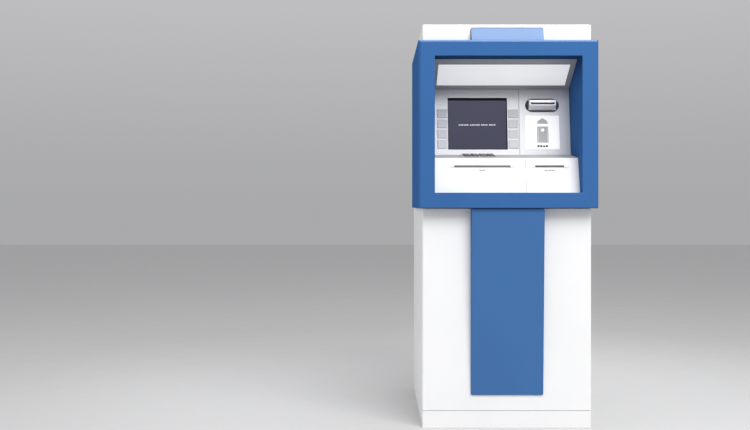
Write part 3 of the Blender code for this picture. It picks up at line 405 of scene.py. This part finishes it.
def zinc_plate(name, colour, roughness):
    """Zinc-plated sheet: soft spangle and rolling lines."""
    paint = Paint(name, colour, roughness, 1.0)
    spangle = paint.node("ShaderNodeSeparateColor", {0: paint.cells(70.0, "Color")}).outputs[0]
    lines = paint.noise(1.0, 3.0, paint.stretched((60.0, 900.0, 900.0)), 0.6)
    both = paint.math("ADD", paint.math("MULTIPLY", spangle, 0.45), lines)
    paint.base(paint.mix(paint.span(both, 0.35, 1.05), shade(colour, 0.82), shade(colour, 1.12)))
    paint.vary_roughness(spangle, 0.07)
    paint.bump(lines, 0.00003, 0.5)
    return paint.material


def hammer_paint(name, colour, roughness):
    """Hammer-finish paint: shallow pools a few millimetres across."""
    paint = Paint(name, colour, roughness)
    pools = paint.cells(260.0, "Distance", "SMOOTH_F1")
    paint.base(paint.mix(paint.span(pools, 0.1, 0.6), shade(colour, 1.25), shade(colour, 0.75)))
    paint.vary_roughness(paint.noise(30.0, 3.0), 0.06)
    paint.bump(pools, 0.0006, 0.6)
    return paint.material


def chrome(name, colour, roughness):
    """Bright plating with hairline scratches and hand marks."""
    paint = Paint(name, colour, roughness, 1.0)
    hair = paint.noise(1.0, 2.0, paint.stretched((250.0, 2500.0, 2500.0)), 0.7)
    marks = paint.noise(60.0, 4.0)
    paint.base(paint.mix(paint.span(marks, 0.35, 0.7), colour, shade(colour, 0.9)))
    paint.vary_roughness(marks, 0.07)
    paint.bump(hair, 0.00002, 0.35)
    return paint.material


def opal_diffuser(name, colour, glow):
    """Opal sheet with fine prisms, lit from behind by a tube along its middle."""
    paint = Paint(name, colour, 0.45)
    tube = paint.between("Z", TUBE_Z, TUBE_Z, 0.045)
    paint.feed("Emission Color", paint.mix(tube, (0.94, 0.94, 0.95), (1.0, 1.0, 1.0)))
    paint.set(Emission_Strength=glow)
    prisms = paint.noise(700.0, 1.0)
    paint.base(paint.mix(prisms, shade(colour, 0.99), colour))
    paint.vary_roughness(prisms, 0.05)
    paint.bump(prisms, 0.00015, 0.5)
    return paint.material


def dot_grid(paint, pitch):
    """Fine dots across and up the display, from 0.81 between them to 1 in their middles."""
    waves = []
    for axis in "XZ":
        turns = paint.math("MULTIPLY", paint.axis(axis), 2.0 * math.pi / pitch)
        waves.append(paint.span(paint.math("SINE", turns), -1.0, 1.0, 0.9, 1.0))
    return paint.math("MULTIPLY", *waves)


def display_glass(name, colour, glow):
    """A dim lit panel behind a glossy cover: dot grid, with a black border round it, widened at the
    top into a painted shadow of the recess's head.
    """
    paint = Paint(name, (0.012, 0.012, 0.016), 0.09)
    # The lit area stops 9.5 mm below the screen's head: the black band there is painted shadow of
    # the recess's head.
    inside = paint.math(
        "MULTIPLY",
        paint.between("X", SCREEN_LEFT + 0.0020, SCREEN_RIGHT - 0.0020, 0.0005),
        paint.between("Z", SCREEN_FOOT + 0.0015, SCREEN_HEAD - 0.0095, 0.0005),
    )
    rise = paint.span(paint.axis("Z"), SCREEN_FOOT, SCREEN_HEAD, 0.86, 1.08)
    lit = paint.math("MULTIPLY", paint.math("MULTIPLY", dot_grid(paint, 0.0005), rise), inside)
    paint.feed("Emission Color", paint.mix(lit, (0.0, 0.0, 0.0), colour))
    paint.set(Emission_Strength=glow, Specular_IOR_Level=0.35)
    paint.vary_roughness(paint.noise(35.0, 4.0), 0.03)
    paint.bump(paint.noise(400.0, 1.0), 0.00001, 0.3)
    return paint.material


def card_bezel_metal(name, colour, roughness):
    """Dark plated ring with a bright satin mouth in it, and painted black shade inside the card
    slot.
    """
    paint = Paint(name, colour, roughness, 0.8)
    mouth = paint.math(
        "MULTIPLY",
        paint.between("X", CARD_X - MOUTH_HALF_WIDTH, CARD_X + MOUTH_HALF_WIDTH, 0.0005),
        paint.between("Z", BEZEL_Z - MOUTH_HALF_HEIGHT, BEZEL_Z + MOUTH_HALF_HEIGHT, 0.0005),
    )
    # Painted shade: the inside of the card slot is painted near black.
    painted_slot_shade = paint.math(
        "MULTIPLY",
        paint.between("X", CARD_X - SLOT_WIDTH / 2, CARD_X + SLOT_WIDTH / 2, 0.001),
        paint.between("Z", SLOT_Z - 0.0028, SLOT_Z + 0.0028, 0.0003),
    )
    lines = paint.noise(1.0, 3.0, paint.stretched((60.0, 2600.0, 2600.0)), 0.6)
    satin = paint.mix(paint.span(lines, 0.3, 0.7), shade(colour, 0.97), shade(colour, 1.03))
    plated = paint.mix(mouth, shade(colour, 0.05), satin)
    paint.base(paint.mix(painted_slot_shade, plated, shade(colour, 0.01)))
    paint.vary_roughness(paint.noise(40.0, 2.0), 0.03)
    paint.bump(lines, 0.00001, 0.3)
    return paint.material


def printed_ink(name, colour):
    """Screen-printed ink, a little uneven in coverage."""
    paint = Paint(name, colour, 0.6)
    cover = paint.noise(800.0, 3.0)
    paint.base(paint.mix(paint.span(cover, 0.4, 0.8), colour, paler(colour, 0.06)))
    paint.vary_roughness(cover, 0.05)
    paint.bump(cover, 0.00002, 0.4)
    return paint.material


def floor_finish(name, near, far):
    """Smooth floor with a painted pool of light: pale round the object, turning to the background's
    grey away from it.
    """
    paint = Paint(name, near, 0.55)
    flat = paint.node(
        "ShaderNodeVectorMath",
        {0: paint.coordinates, 1: (1.0, 1.0, 0.0)},
        operation="MULTIPLY",
    ).outputs[0]
    reach = paint.node(
        "ShaderNodeVectorMath", {0: flat}, operation="LENGTH"
    ).outputs["Value"]
    cloud = paint.noise(1.2, 3.0)
    toned = paint.mix(cloud, shade(near, 0.98), near)
    # Painted light: the floor is paler within 0.7 m of the object and greys out by 2.6 m.
    away = paint.node(
        "ShaderNodeMapRange",
        {"Value": reach, "From Min": 0.7, "From Max": 2.6},
        interpolation_type="SMOOTHSTEP",
    ).outputs[0]
    paint.base(paint.mix(away, toned, far))
    paint.vary_roughness(paint.noise(9.0, 4.0), 0.05)
    return paint.material


def glowing(paint, colour, glow, pattern, low):
    """Colours and lights a material alike, as little as low times the colour by a pattern."""
    toned = paint.mix(pattern, shade(colour, low), colour)
    paint.base(toned)
    paint.feed("Emission Color", toned)
    paint.set(Emission_Strength=glow)
    paint.vary_roughness(pattern, 0.05)


def lit_marks(name, colour, glow):
    """Bright characters on the display."""
    paint = Paint(name, colour, 0.5)
    pixels = paint.noise(3000.0, 1.0)
    glowing(paint, colour, glow, pixels, 0.9)
    paint.bump(pixels, 0.00001, 0.3)
    return paint.material


def placard_with_painted_glow(name, colour, glow):
    """White laminate that glows a little: painted light, with no lamp behind it."""
    paint = Paint(name, colour, 0.40)
    fibres = paint.noise(500.0, 3.0)
    glowing(paint, colour, glow, fibres, 0.98)
    paint.bump(fibres, 0.00002, 0.4)
    return paint.material


def soft_rubber(name, colour):
    """Black foam or rubber seal with a dusty bloom, also used as painted shade."""
    paint = Paint(name, colour, 0.75)
    bloom = paint.noise(150.0, 4.0)
    paint.base(paint.mix(paint.span(bloom, 0.4, 0.8), colour, shade(colour, 2.2)))
    paint.vary_roughness(bloom, 0.08)
    paint.set(Specular_IOR_Level=0.2)
    paint.bump(paint.noise(1800.0, 2.0), 0.00008, 0.6)
    return paint.material


LOOKS = {
    "cabinet_white": powder_coat("white_powder_coat", (0.85, 0.85, 0.85), 0.42),
    "accent_blue": blue_moulding("blue_moulding", (0.0430, 0.132, 0.337), 0.46),
    "fascia_silver": silver_paint("silver_lacquer", (0.78, 0.78, 0.80), 0.38),
    "console_white": console_moulding("white_moulding", (0.82, 0.82, 0.83), 0.34),
    "canopy_grey": moulded_plastic(
        "grey_grained_plastic", (0.385, 0.385, 0.41), 0.50, 900.0, 0.00012
    ),
    "diffuser_white": opal_diffuser("opal_diffuser", (0.80, 0.80, 0.80), 0.45),
    "display_dark": display_glass("display_glass", (0.070, 0.072, 0.120), 0.85),
    "key_grey": moulded_plastic(
        "key_cap_grey", (0.64, 0.64, 0.665), 0.42, 1800.0, 0.00004, 0.3
    ),
    "pin_key_dark": moulded_plastic(
        "pin_key_dark", (0.045, 0.045, 0.05), 0.40, 1800.0, 0.00004, 0.35
    ),
    "pad_steel": brushed_metal("pad_brushed_steel", (0.56, 0.56, 0.58), 0.32),
    "bezel_metal": card_bezel_metal("bezel_plating", (0.86, 0.86, 0.90), 0.30),
    # The placard's glow is painted light.
    "placard_white": placard_with_painted_glow("placard_laminate", (0.90, 0.90, 0.90), 0.42),
    "safe_grey": hammer_paint("safe_hammer_paint", (0.20, 0.215, 0.235), 0.42),
    "zinc_steel": zinc_plate("zinc_plated_sheet", (0.58, 0.59, 0.60), 0.36),
    "mechanism_black": moulded_plastic(
        "black_grained_plastic", (0.022, 0.022, 0.025), 0.50, 1100.0, 0.00010, 0.3
    ),
    "lock_chrome": chrome("bright_chrome", (0.72, 0.72, 0.74), 0.16),
}
# A paler copy of the surround's blue for the crest: painted light for the light that its
# upward-leaning face catches.
CREST_BLUE_WITH_PAINTED_LIGHT = moulded_plastic(
    "crest_blue_with_painted_light", (0.205, 0.308, 0.515), 0.42, 1500.0, 0.00006, 0.2, 0.1
)
INK_BLACK = printed_ink("black_ink", (0.030, 0.030, 0.032))
INK_GREY = printed_ink("grey_ink", (0.54, 0.54, 0.53))
# Grey ink for the marks under the slots, also used as painted shade at the ends of the slots.
INK_AND_SHADE_GREY = printed_ink("grey_ink_and_painted_shade", (0.16, 0.16, 0.165))
INK_WHITE = printed_ink("white_ink", (0.80, 0.80, 0.80))
INK_RED = printed_ink("red_ink", (0.62, 0.035, 0.030))
INK_YELLOW = printed_ink("yellow_ink", (0.75, 0.48, 0.03))
INK_GREEN = printed_ink("green_ink", (0.04, 0.36, 0.10))
DISPLAY_MARKS = lit_marks("display_marks", (0.62, 0.62, 0.66), 0.40)
# Black rubber for the door's seal, and painted shade in the display's recess and round the crest.
SEAL_AND_SHADE_BLACK = soft_rubber("seal_rubber_and_painted_shade", (0.010, 0.010, 0.012))
SCREW_ZINC = zinc_plate("screw_zinc", (0.62, 0.62, 0.64), 0.32)
FLAP_GREY = moulded_plastic("flap_grey", (0.26, 0.26, 0.27), 0.45, 1500.0, 0.00004, 0.2)
SIGN_INKS = {"cancel": INK_RED, "correct": INK_YELLOW, "confirm": INK_GREEN}
OTHER_LOOKS = {
    "top_trim": CREST_BLUE_WITH_PAINTED_LIGHT,
    "door_trim": blue_moulding("trim_blue_moulding", (0.057, 0.151, 0.355), 0.46),
    # The note slot's shutter, zinc in the CAD, is given a darker grey: painted shade for the depth
    # of the slot.
    "cash_shutter": moulded_plastic(
        "shutter_painted_shade_grey", (0.24, 0.24, 0.25), 0.45, 1500.0, 0.00004, 0.2
    ),
}
EDGE_WIDTHS = {
    "base_plinth": 0.0014,
    "display_panel": 0.0,
    "cash_shutter": 0.0002,
    "card_placard": 0.0,
    "canopy_diffuser": 0.0004,
    "safe_body": 0.0012,
    "safe_door": 0.0,
    "unit_chassis": 0.0004,
    "keypad_housing": 0.0004,
    "console_left": 0.0005,
    "console_right": 0.0005,
}
USUAL_EDGE = 0.0006


def dress_cad():
    """Gives each CAD node its finish, and softens the sharp edges of the moulded and folded ones."""
    for name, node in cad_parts.items():
        slot_name = node.material_slots[0].material.name.split(".")[0]
        node.material_slots[0].material = LOOKS[slot_name]
        if name in OTHER_LOOKS:
            node.material_slots[0].material = OTHER_LOOKS[name]
        width = EDGE_WIDTHS.get(name, USUAL_EDGE)
        if "_key_" in name or not width:
            continue
        weld = node.modifiers.new("weld", "WELD")
        weld.merge_threshold = 0.00001
        join = node.modifiers.new("join", "DECIMATE")
        join.decimate_type = "DISSOLVE"
        join.angle_limit = math.radians(0.6)
        soften = node.modifiers.new("soften", "BEVEL")
        soften.width = width
        soften.segments = 2
        soften.limit_method = "ANGLE"
        soften.angle_limit = math.radians(40)
        smooth = node.modifiers.new("smooth", "WEIGHTED_NORMAL")
        smooth.keep_sharp = True


# Planes and places of the pieces that the CAD leaves to the looks

DISPLAY_PLANE = face_frame(FASCIA_FACE) @ Matrix.Translation((0, 0, -DISPLAY_DEPTH))
PLACARD_PLANE = face_frame(FASCIA_FACE) @ Matrix.Translation((0, 0, PLACARD_TOP))
DOOR_BACK = FRONT + DOOR_SKIN + 0.0002
FACING_IN = Matrix.Rotation(math.radians(-90), 4, "X")
PICTURE_LEFT = CARD_X - 0.0215
PICTURE_RIGHT = CARD_X + 0.0215
PICTURE_FOOT = up_face(FASCIA_FACE, 1.0215)
PICTURE_HEAD = up_face(FASCIA_FACE, 1.0825)


def add_ticks(shape, left, middle_y, width, height, gap, words, low, high):
    """A row of small upright marks in groups, in place of printed words."""
    x = left
    foot = middle_y - height / 2
    for count in words:
        for i in range(count):
            tall = height * (1.0 if (i * 7 + count) % 3 else 0.82)
            add_plate(shape, rectangle(x, foot, x + width, foot + tall), low, high)
            x += width + gap
        x += width


def display_marks():
    """Four groups of bright marks across the middle of the display."""
    left = SCREEN_LEFT + 0.0415
    level = up_face(FASCIA_FACE, 1.0915)
    shape = bmesh.new()
    add_ticks(shape, left, level, 0.0043, 0.0052, 0.0020, (6, 6, 4, 4), 0.0001, 0.0003)
    piece("display_marks", shape, DISPLAY_PLANE, DISPLAY_MARKS, "user_unit")


def display_recess_shade():
    """A black lining round the walls of the display's recess: painted shade on them."""
    foot = up_face(FASCIA_FACE, SCREEN_FOOT)
    head = up_face(FASCIA_FACE, SCREEN_HEAD)
    gap = 0.0001
    wall = 0.0011
    shape = bmesh.new()
    add_ring(
        shape,
        rectangle(SCREEN_LEFT + gap, foot + gap, SCREEN_RIGHT - gap, head - gap),
        rectangle(SCREEN_LEFT + wall, foot + wall, SCREEN_RIGHT - wall, head - wall),
        gap,
        DISPLAY_DEPTH - 0.0012,
    )
    piece("display_recess_shade", shape, DISPLAY_PLANE, SEAL_AND_SHADE_BLACK, "user_unit")


def round_outline(x, y, radius, steps=28):
    angles = [2 * math.pi * i / steps for i in range(steps)]
    return [(x + radius * math.cos(a), y + radius * math.sin(a)) for a in angles]


def placard_picture():
    """An arrow that points up to the slot, and a bank card under it."""
    foot = up_face(FASCIA_FACE, 1.0925)
    head = up_face(FASCIA_FACE, 1.1145)
    stem = foot + 0.003
    eaves = foot + 0.009
    lap = 0.006
    arrow = [
        (PICTURE_LEFT, foot),
        (PICTURE_RIGHT, foot),
        (PICTURE_RIGHT, stem),
        (PICTURE_RIGHT - lap, eaves),
        (PICTURE_RIGHT, eaves),
        (CARD_X, head),
        (PICTURE_LEFT, eaves),
        (PICTURE_LEFT + lap, eaves),
        (PICTURE_LEFT, stem),
    ]
    card = rectangle(PICTURE_LEFT, PICTURE_FOOT, PICTURE_RIGHT, PICTURE_HEAD)
    shape = bmesh.new()
    add_plate(shape, arrow, 0.0, INK_THICKNESS)
    add_plate(shape, card, 0.0, INK_THICKNESS)
    piece(
        "placard_arrow_and_card", shape, PLACARD_PLANE, INK_GREY, "user_unit"
    )


def placard_card_details():
    """A disc and two lines on the picture of the card."""
    low, high = INK_THICKNESS, 2 * INK_THICKNESS
    margin = 0.004
    shape = bmesh.new()
    add_plate(shape, round_outline(CARD_X, up_face(FASCIA_FACE, 1.0690), 0.0062), low, high)
    for side in (-1, 1):
        line = CARD_X + side * 0.0172
        outline = rectangle(
            line - 0.0004, PICTURE_FOOT + margin, line + 0.0004, PICTURE_HEAD - margin
        )
        add_plate(shape, outline, low, high)
    white = LOOKS["placard_white"]
    piece("placard_card_details", shape, PLACARD_PLANE, white, "user_unit")


def placard_marks():
    """A row of four marks at the placard's foot."""
    left = PICTURE_LEFT + 0.001
    level = up_face(FASCIA_FACE, 1.0085)
    shape = bmesh.new()
    add_ticks(shape, left, level, 0.0078, 0.0085, 0.0026, (4,), 0.0, INK_THICKNESS)
    piece("placard_marks", shape, PLACARD_PLANE, INK_BLACK, "user_unit")


def slot_marks():
    """A short row of marks under the note slot and under the receipt slot."""
    width = 0.0038
    gap = 0.0015
    level = up_face(PANEL_FACE, 0.9140)
    for name, x, count in (("cash_marks", CASH_X, 4), ("receipt_marks", RECEIPT_X, 7)):
        left = x - count * (width + gap) / 2
        shape = bmesh.new()
        add_ticks(shape, left, level, width, 0.0050, gap, (count,), 0.0, INK_THICKNESS)
        piece(name, shape, face_frame(PANEL_FACE), INK_AND_SHADE_GREY, "user_unit")


def slot_flare_shades():
    """A grey mark at each end of the two slots: painted shade for the flares of the scoop."""
    line = up_face(PANEL_FACE, SLOTS_FOOT) + 0.0012
    for name, x, width in (
        ("cash_flare_shades", CASH_X, CASH_WIDTH),
        ("receipt_flare_shades", RECEIPT_X, RECEIPT_WIDTH),
    ):
        shape = bmesh.new()
        for side in (-1, 1):
            start, end = (x + side * (width / 2 + along) for along in (0.001, 0.015))
            bar = rectangle(min(start, end), line, max(start, end), line + 0.0013)
            add_plate(shape, bar, 0.0, INK_THICKNESS)
            tick = end - side * 0.0004
            upright = rectangle(tick - 0.0004, line + 0.0015, tick + 0.0004, line + 0.0055)
            add_plate(shape, upright, 0.0, INK_THICKNESS)
        piece(name, shape, face_frame(PANEL_FACE), INK_AND_SHADE_GREY, "user_unit")


def receipt_flap():
    """A flap behind the receipt slot."""
    mouth = up_face(PANEL_FACE, SLOTS_FOOT)
    reach = RECEIPT_WIDTH / 2 + 0.002
    shape = bmesh.new()
    add_box(
        shape,
        (RECEIPT_X - reach, mouth - 0.0010, -PANEL_THICKNESS - 0.0018),
        (RECEIPT_X + reach, mouth + 0.0062, -PANEL_THICKNESS - 0.0006),
        0.0004,
    )
    on_panel = face_frame(PANEL_FACE)
    piece("receipt_flap", shape, on_panel, FLAP_GREY, "user_unit")


def crest_shadow_line():
    """A thin black sheet round the crest: a painted shadow line for the gap round it."""
    edge = 0.0018
    corner = 0.0078
    reach = CREST_HALF + edge
    foot, head = BAND_FOOT + 0.0002, CREST_HEAD + edge
    outline = [(-reach, foot), (reach, foot)]
    for side, start in ((1, 0.0), (-1, 90.0)):
        for step in range(5):
            angle = math.radians(start + step * 22.5)
            x = side * (reach - corner) + corner * math.cos(angle)
            outline.append((x, head - corner + corner * math.sin(angle)))
    shape = bmesh.new()
    add_plate(shape, outline, 0.00003, 0.00027)
    upright = Matrix.Translation((0, FRONT, 0)) @ Matrix.Rotation(math.radians(90), 4, "X")
    piece("crest_shadow_line", shape, upright, SEAL_AND_SHADE_BLACK, "cabinet")


# The strokes of each digit, from a at the top round to f, with g in the middle
SEGMENTS = {
    "0": "abcdef",
    "1": "bc",
    "2": "abged",
    "3": "abgcd",
    "4": "fgbc",
    "5": "afgcd",
    "6": "afgedc",
    "7": "abc",
    "8": "abcdefg",
    "9": "abcdfg",
}


def add_digit(shape, digit, x, y, low, high):
    """A digit of straight strokes, its middle at x, y."""
    wide = 0.0050
    tall = 0.0086
    stroke = 0.0011
    gap = 0.00015
    left, right = x - wide / 2, x + wide / 2
    foot, head = y - tall / 2, y + tall / 2
    inner_left, inner_right = left + stroke + gap, right - stroke - gap
    boxes = {
        "a": (inner_left, head - stroke, inner_right, head),
        "d": (inner_left, foot, inner_right, foot + stroke),
        "g": (inner_left, y - stroke / 2, inner_right, y + stroke / 2),
        "b": (right - stroke, y + gap, right, head),
        "c": (right - stroke, foot, right, y - gap),
        "f": (left, y + gap, left + stroke, head),
        "e": (left, foot, left + stroke, y - gap),
    }
    for letter in SEGMENTS[digit]:
        add_plate(shape, rectangle(*boxes[letter]), low, high)


def turned_bar(x, y, length, width, angle):
    along = Vector((math.cos(angle), math.sin(angle)))
    across = Vector((-along.y, along.x)) * width / 2
    along = along * length / 2
    middle = Vector((x, y))
    corners = (-along - across, along - across, along + across, -along + across)
    return [tuple(middle + corner) for corner in corners]


def add_cross(shape, x, y, low, high):
    """One long bar, and two arms that stop short of it on either side."""
    quarter = math.pi / 4
    width = 0.0013
    add_plate(shape, turned_bar(x, y, 0.0085, width, quarter), low, high)
    for reach in (-0.002499, 0.002499):
        arm = turned_bar(x - reach, y + reach, 0.0033, width, -quarter)
        add_plate(shape, arm, low, high)


def add_sign(shape, sign, x, y, low, high):
    """A key's sign with its middle at x, y, or a dash for a key that has none."""
    if sign in SEGMENTS:
        add_digit(shape, sign, x, y, low, high)
    elif sign == "double_zero":
        for side in (-1, 1):
            add_digit(shape, "0", x + side * 0.0033, y, low, high)
    elif sign == "cancel":
        add_cross(shape, x, y, low, high)
    elif sign == "correct":
        arrow = [(x - 0.0045, y), (x + 0.0035, y - 0.0038), (x + 0.0035, y + 0.0038)]
        add_plate(shape, arrow, low, high)
    elif sign == "confirm":
        add_ring(shape, round_outline(x, y, 0.0042), round_outline(x, y, 0.0028), low, high)
    else:
        add_plate(shape, rectangle(x - 0.0015, y - 0.0004, x + 0.0015, y + 0.0004), low, high)


def pin_key_marks():
    """Digits on the number keys, and a cross, an arrow and a ring on the coloured ones."""
    on_shelf = face_frame(SHELF_FACE)
    to_shelf = on_shelf.inverted()
    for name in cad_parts:
        if not name.startswith("pin_key_"):
            continue
        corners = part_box(name)
        spot = to_shelf @ ((corners[0] + corners[1]) / 2)
        sign = name.removeprefix("pin_key_")
        ink = SIGN_INKS.get(sign, INK_WHITE)
        shape = bmesh.new()
        add_sign(shape, sign, spot.x, spot.y, PIN_PROUD, PIN_PROUD + INK_THICKNESS)
        piece("mark_of_" + name, shape, on_shelf, ink, name)


def add_screw(shape, matrix, radius, proud):
    """A pan-head screw with a cross recess, its head proud of the plane z = 0."""
    steps = 24
    rows = []
    for reach, level in ((1.0, 0.0), (1.0, 0.35), (0.88, 0.75), (0.6, 0.97), (0.42, 1.0)):
        outline = round_outline(0, 0, radius * reach, steps)
        rows.append([(x, y, level * proud) for x, y in outline])
    cross = []
    for i in range(steps):
        angle = 2 * math.pi * i / steps
        deep = radius * (0.42 if i % 6 in (0, 1, 5) else 0.16)
        cross.append((deep * math.cos(angle), deep * math.sin(angle)))
    rows.append([(x, y, proud * 0.98) for x, y in cross])
    rows.append([(x * 0.7, y * 0.7, proud * 0.35) for x, y in cross])
    rings = [[shape.verts.new(matrix @ Vector(point)) for point in row] for row in rows]
    shape.faces.new(rings[0][::-1])
    for first, second in zip(rings, rings[1:]):
        for i in range(steps):
            j = (i + 1) % steps
            shape.faces.new((first[i], first[j], second[j], second[i]))
    shape.faces.new(rings[-1])


def screw_set(name, places, y, turn, radius, proud):
    """Screws at places across and up, in an upright plane at y, as one piece of the cabinet."""
    facing = Matrix.Rotation(math.radians(turn), 4, "X")
    shape = bmesh.new()
    for x, z in places:
        add_screw(shape, Matrix.Translation((x, y, z)) @ facing, radius, proud)
    piece(name, shape, None, SCREW_ZINC, "cabinet")


def panel_screws():
    """The screws round the rear panel."""
    places = [(x, z) for x in (-0.270, 0.270) for z in (0.10, 0.42, 0.74, 1.06, 1.38)]
    places += [(x, z) for x in (-0.09, 0.09) for z in (0.085, 1.410)]
    screw_set("rear_panel_screws", places, REAR, -90, 0.0048, 0.0022)


def dial_marks():
    """Tick marks round the combination dial, each fifth one longer."""
    x, z = DIAL_AT
    steps = 50
    shape = bmesh.new()
    for i in range(steps):
        angle = 2 * math.pi * i / steps
        length = 0.0030 if i % 5 else 0.0050
        middle = 0.0330 - length / 2
        outline = turned_bar(
            middle * math.cos(angle), middle * math.sin(angle), length, 0.0006, angle
        )
        add_plate(shape, outline, 0.0, 0.0001)
    upright = Matrix.Translation((x, DIAL_FACE, z)) @ Matrix.Rotation(math.radians(90), 4, "X")
    piece("dial_marks", shape, upright, INK_BLACK, "safe_dial")


def add_channel(shape, matrix, length, width, depth, flange, sheet):
    """A pressed hat channel along x, its flanges on the plane z = 0."""
    profile = [
        (-width / 2 - flange, 0.0),
        (-width / 2 - flange, sheet),
        (-width / 2 - sheet, sheet),
        (-width / 2 + sheet, depth),
        (width / 2 - sheet, depth),
        (width / 2 + sheet, sheet),
        (width / 2 + flange, sheet),
        (width / 2 + flange, 0.0),
        (width / 2, 0.0),
        (width / 2 - 2 * sheet, depth - sheet),
        (-width / 2 + 2 * sheet, depth - sheet),
        (-width / 2, 0.0),
    ]
    ends = [
        [shape.verts.new(matrix @ Vector((x, y, z))) for y, z in profile]
        for x in (-length / 2, length / 2)
    ]
    shape.faces.new(ends[0])
    shape.faces.new(ends[1][::-1])
    for i in range(len(profile)):
        j = (i + 1) % len(profile)
        shape.faces.new((ends[0][i], ends[0][j], ends[1][j], ends[1][i]))


def door_stiffeners():
    """Three stiffening channels inside the door."""
    white = LOOKS["cabinet_white"]
    shape = bmesh.new()
    for level in (0.23, 0.42, 0.61):
        place = Matrix.Translation((0.0, DOOR_BACK, level)) @ FACING_IN
        add_channel(shape, place, 0.500, 0.046, 0.011, 0.012, 0.0010)
    piece("door_stiffeners", shape, None, white, "front_door")


def door_seal():
    """The foam seal round the door's rim, set in further on the side of the hinges."""
    inset = DOOR_SKIN + 0.0015
    rim = HALF - inset
    by_hinges = 0.030 - rim
    foot, head = DOOR_FOOT + inset, DOOR_HEAD - inset
    width = 0.008
    shape = bmesh.new()
    add_ring(
        shape,
        rectangle(by_hinges, -head, rim, -foot),
        rectangle(by_hinges + width, -head + width, rim - width, -foot - width),
        0.0,
        0.0045,
    )
    place = Matrix.Translation((0.0, DOOR_BACK, 0.0)) @ FACING_IN
    piece("door_seal", shape, place, SEAL_AND_SHADE_BLACK, "front_door")


def safe_bolts():
    """The bolt heads on the face of the safe door."""
    places = [(x, z) for x in (-0.222, 0.222) for z in (0.05, 0.37, 0.69)]
    screw_set("safe_door_bolts", places, SAFE_FACE, 90, 0.0060, 0.0026)


def build_pieces():
    door_stiffeners()
    door_seal()
    safe_bolts()
    display_marks()
    display_recess_shade()
    placard_picture()
    placard_card_details()
    placard_marks()
    slot_marks()
    slot_flare_shades()
    receipt_flap()
    crest_shadow_line()
    pin_key_marks()
    panel_screws()
    dial_marks()


def build_stage():
    shape = bmesh.new()
    bmesh.ops.create_grid(shape, x_segments=24, y_segments=24, size=14.0)
    mesh = bpy.data.meshes.new("floor")
    shape.to_mesh(mesh)
    shape.free()
    floor = bpy.data.objects.new("floor", mesh)
    bpy.context.scene.collection.objects.link(floor)
    mesh.materials.append(floor_finish("floor_with_painted_light_pool", (0.54, 0.54, 0.54), (0.42, 0.42, 0.42)))


def area_light(name, location, target, width, height, radiance):
    """A softbox of a given radiance, pointed at a target."""
    data = bpy.data.lights.new(name, "AREA")
    data.shape = "RECTANGLE"
    data.size = width
    data.size_y = height
    data.energy = radiance * math.pi * width * height
    light = bpy.data.objects.new(name, data)
    bpy.context.scene.collection.objects.link(light)
    light.location = location
    aim = Vector(target) - Vector(location)
    light.rotation_euler = aim.to_track_quat("-Z", "Y").to_euler()


def build_light():
    area_light("key_softbox", (1.25, -3.15, 4.25), (0.0, -0.3, 0.9), 3.4, 2.6, 7.7)
    area_light("top_softbox", (0.45, 0.35, 4.3), (0.0, 0.0, 1.3), 2.6, 1.8, 2.6)
    area_light("left_fill", (-3.6, -0.9, 1.7), (0.0, 0.0, 0.8), 2.6, 2.6, 1.22)
    world = bpy.data.worlds.new("studio")
    bpy.context.scene.world = world
    world.use_nodes = True
    tree = world.node_tree
    background = tree.nodes["Background"]
    where = tree.nodes.new("ShaderNodeTexCoord")
    split = tree.nodes.new("ShaderNodeSeparateXYZ")
    ramp = tree.nodes.new("ShaderNodeValToRGB")
    tree.links.new(where.outputs["Generated"], split.inputs[0])
    tree.links.new(split.outputs["Z"], ramp.inputs[0])
    tree.links.new(ramp.outputs[0], background.inputs["Color"])
    greys = ((0.0, 0.40), (0.06, 0.42), (0.25, 0.54), (1.0, 0.85))
    ramp.color_ramp.elements.remove(ramp.color_ramp.elements[1])
    for index, (place, grey) in enumerate(greys):
        if index:
            element = ramp.color_ramp.elements.new(place)
        else:
            element = ramp.color_ramp.elements[0]
            element.position = place
        element.color = (grey, grey, grey * 1.02, 1.0)


def build_camera():
    data = bpy.data.cameras.new("camera")
    data.lens = 43.50
    data.sensor_width = 36.0
    data.shift_x = -0.0002
    data.shift_y = -0.0150
    camera = bpy.data.objects.new("camera", data)
    bpy.context.scene.collection.objects.link(camera)
    camera.location = (-0.468, -3.5475, 0.795)
    camera.rotation_euler = (math.radians(90), 0, 0)
    bpy.context.scene.camera = camera
    bpy.context.scene.view_settings.view_transform = "Standard"


build_camera()
build_light()
build_stage()
dress_cad()
build_pieces()

bpy.context.view_layer.update()
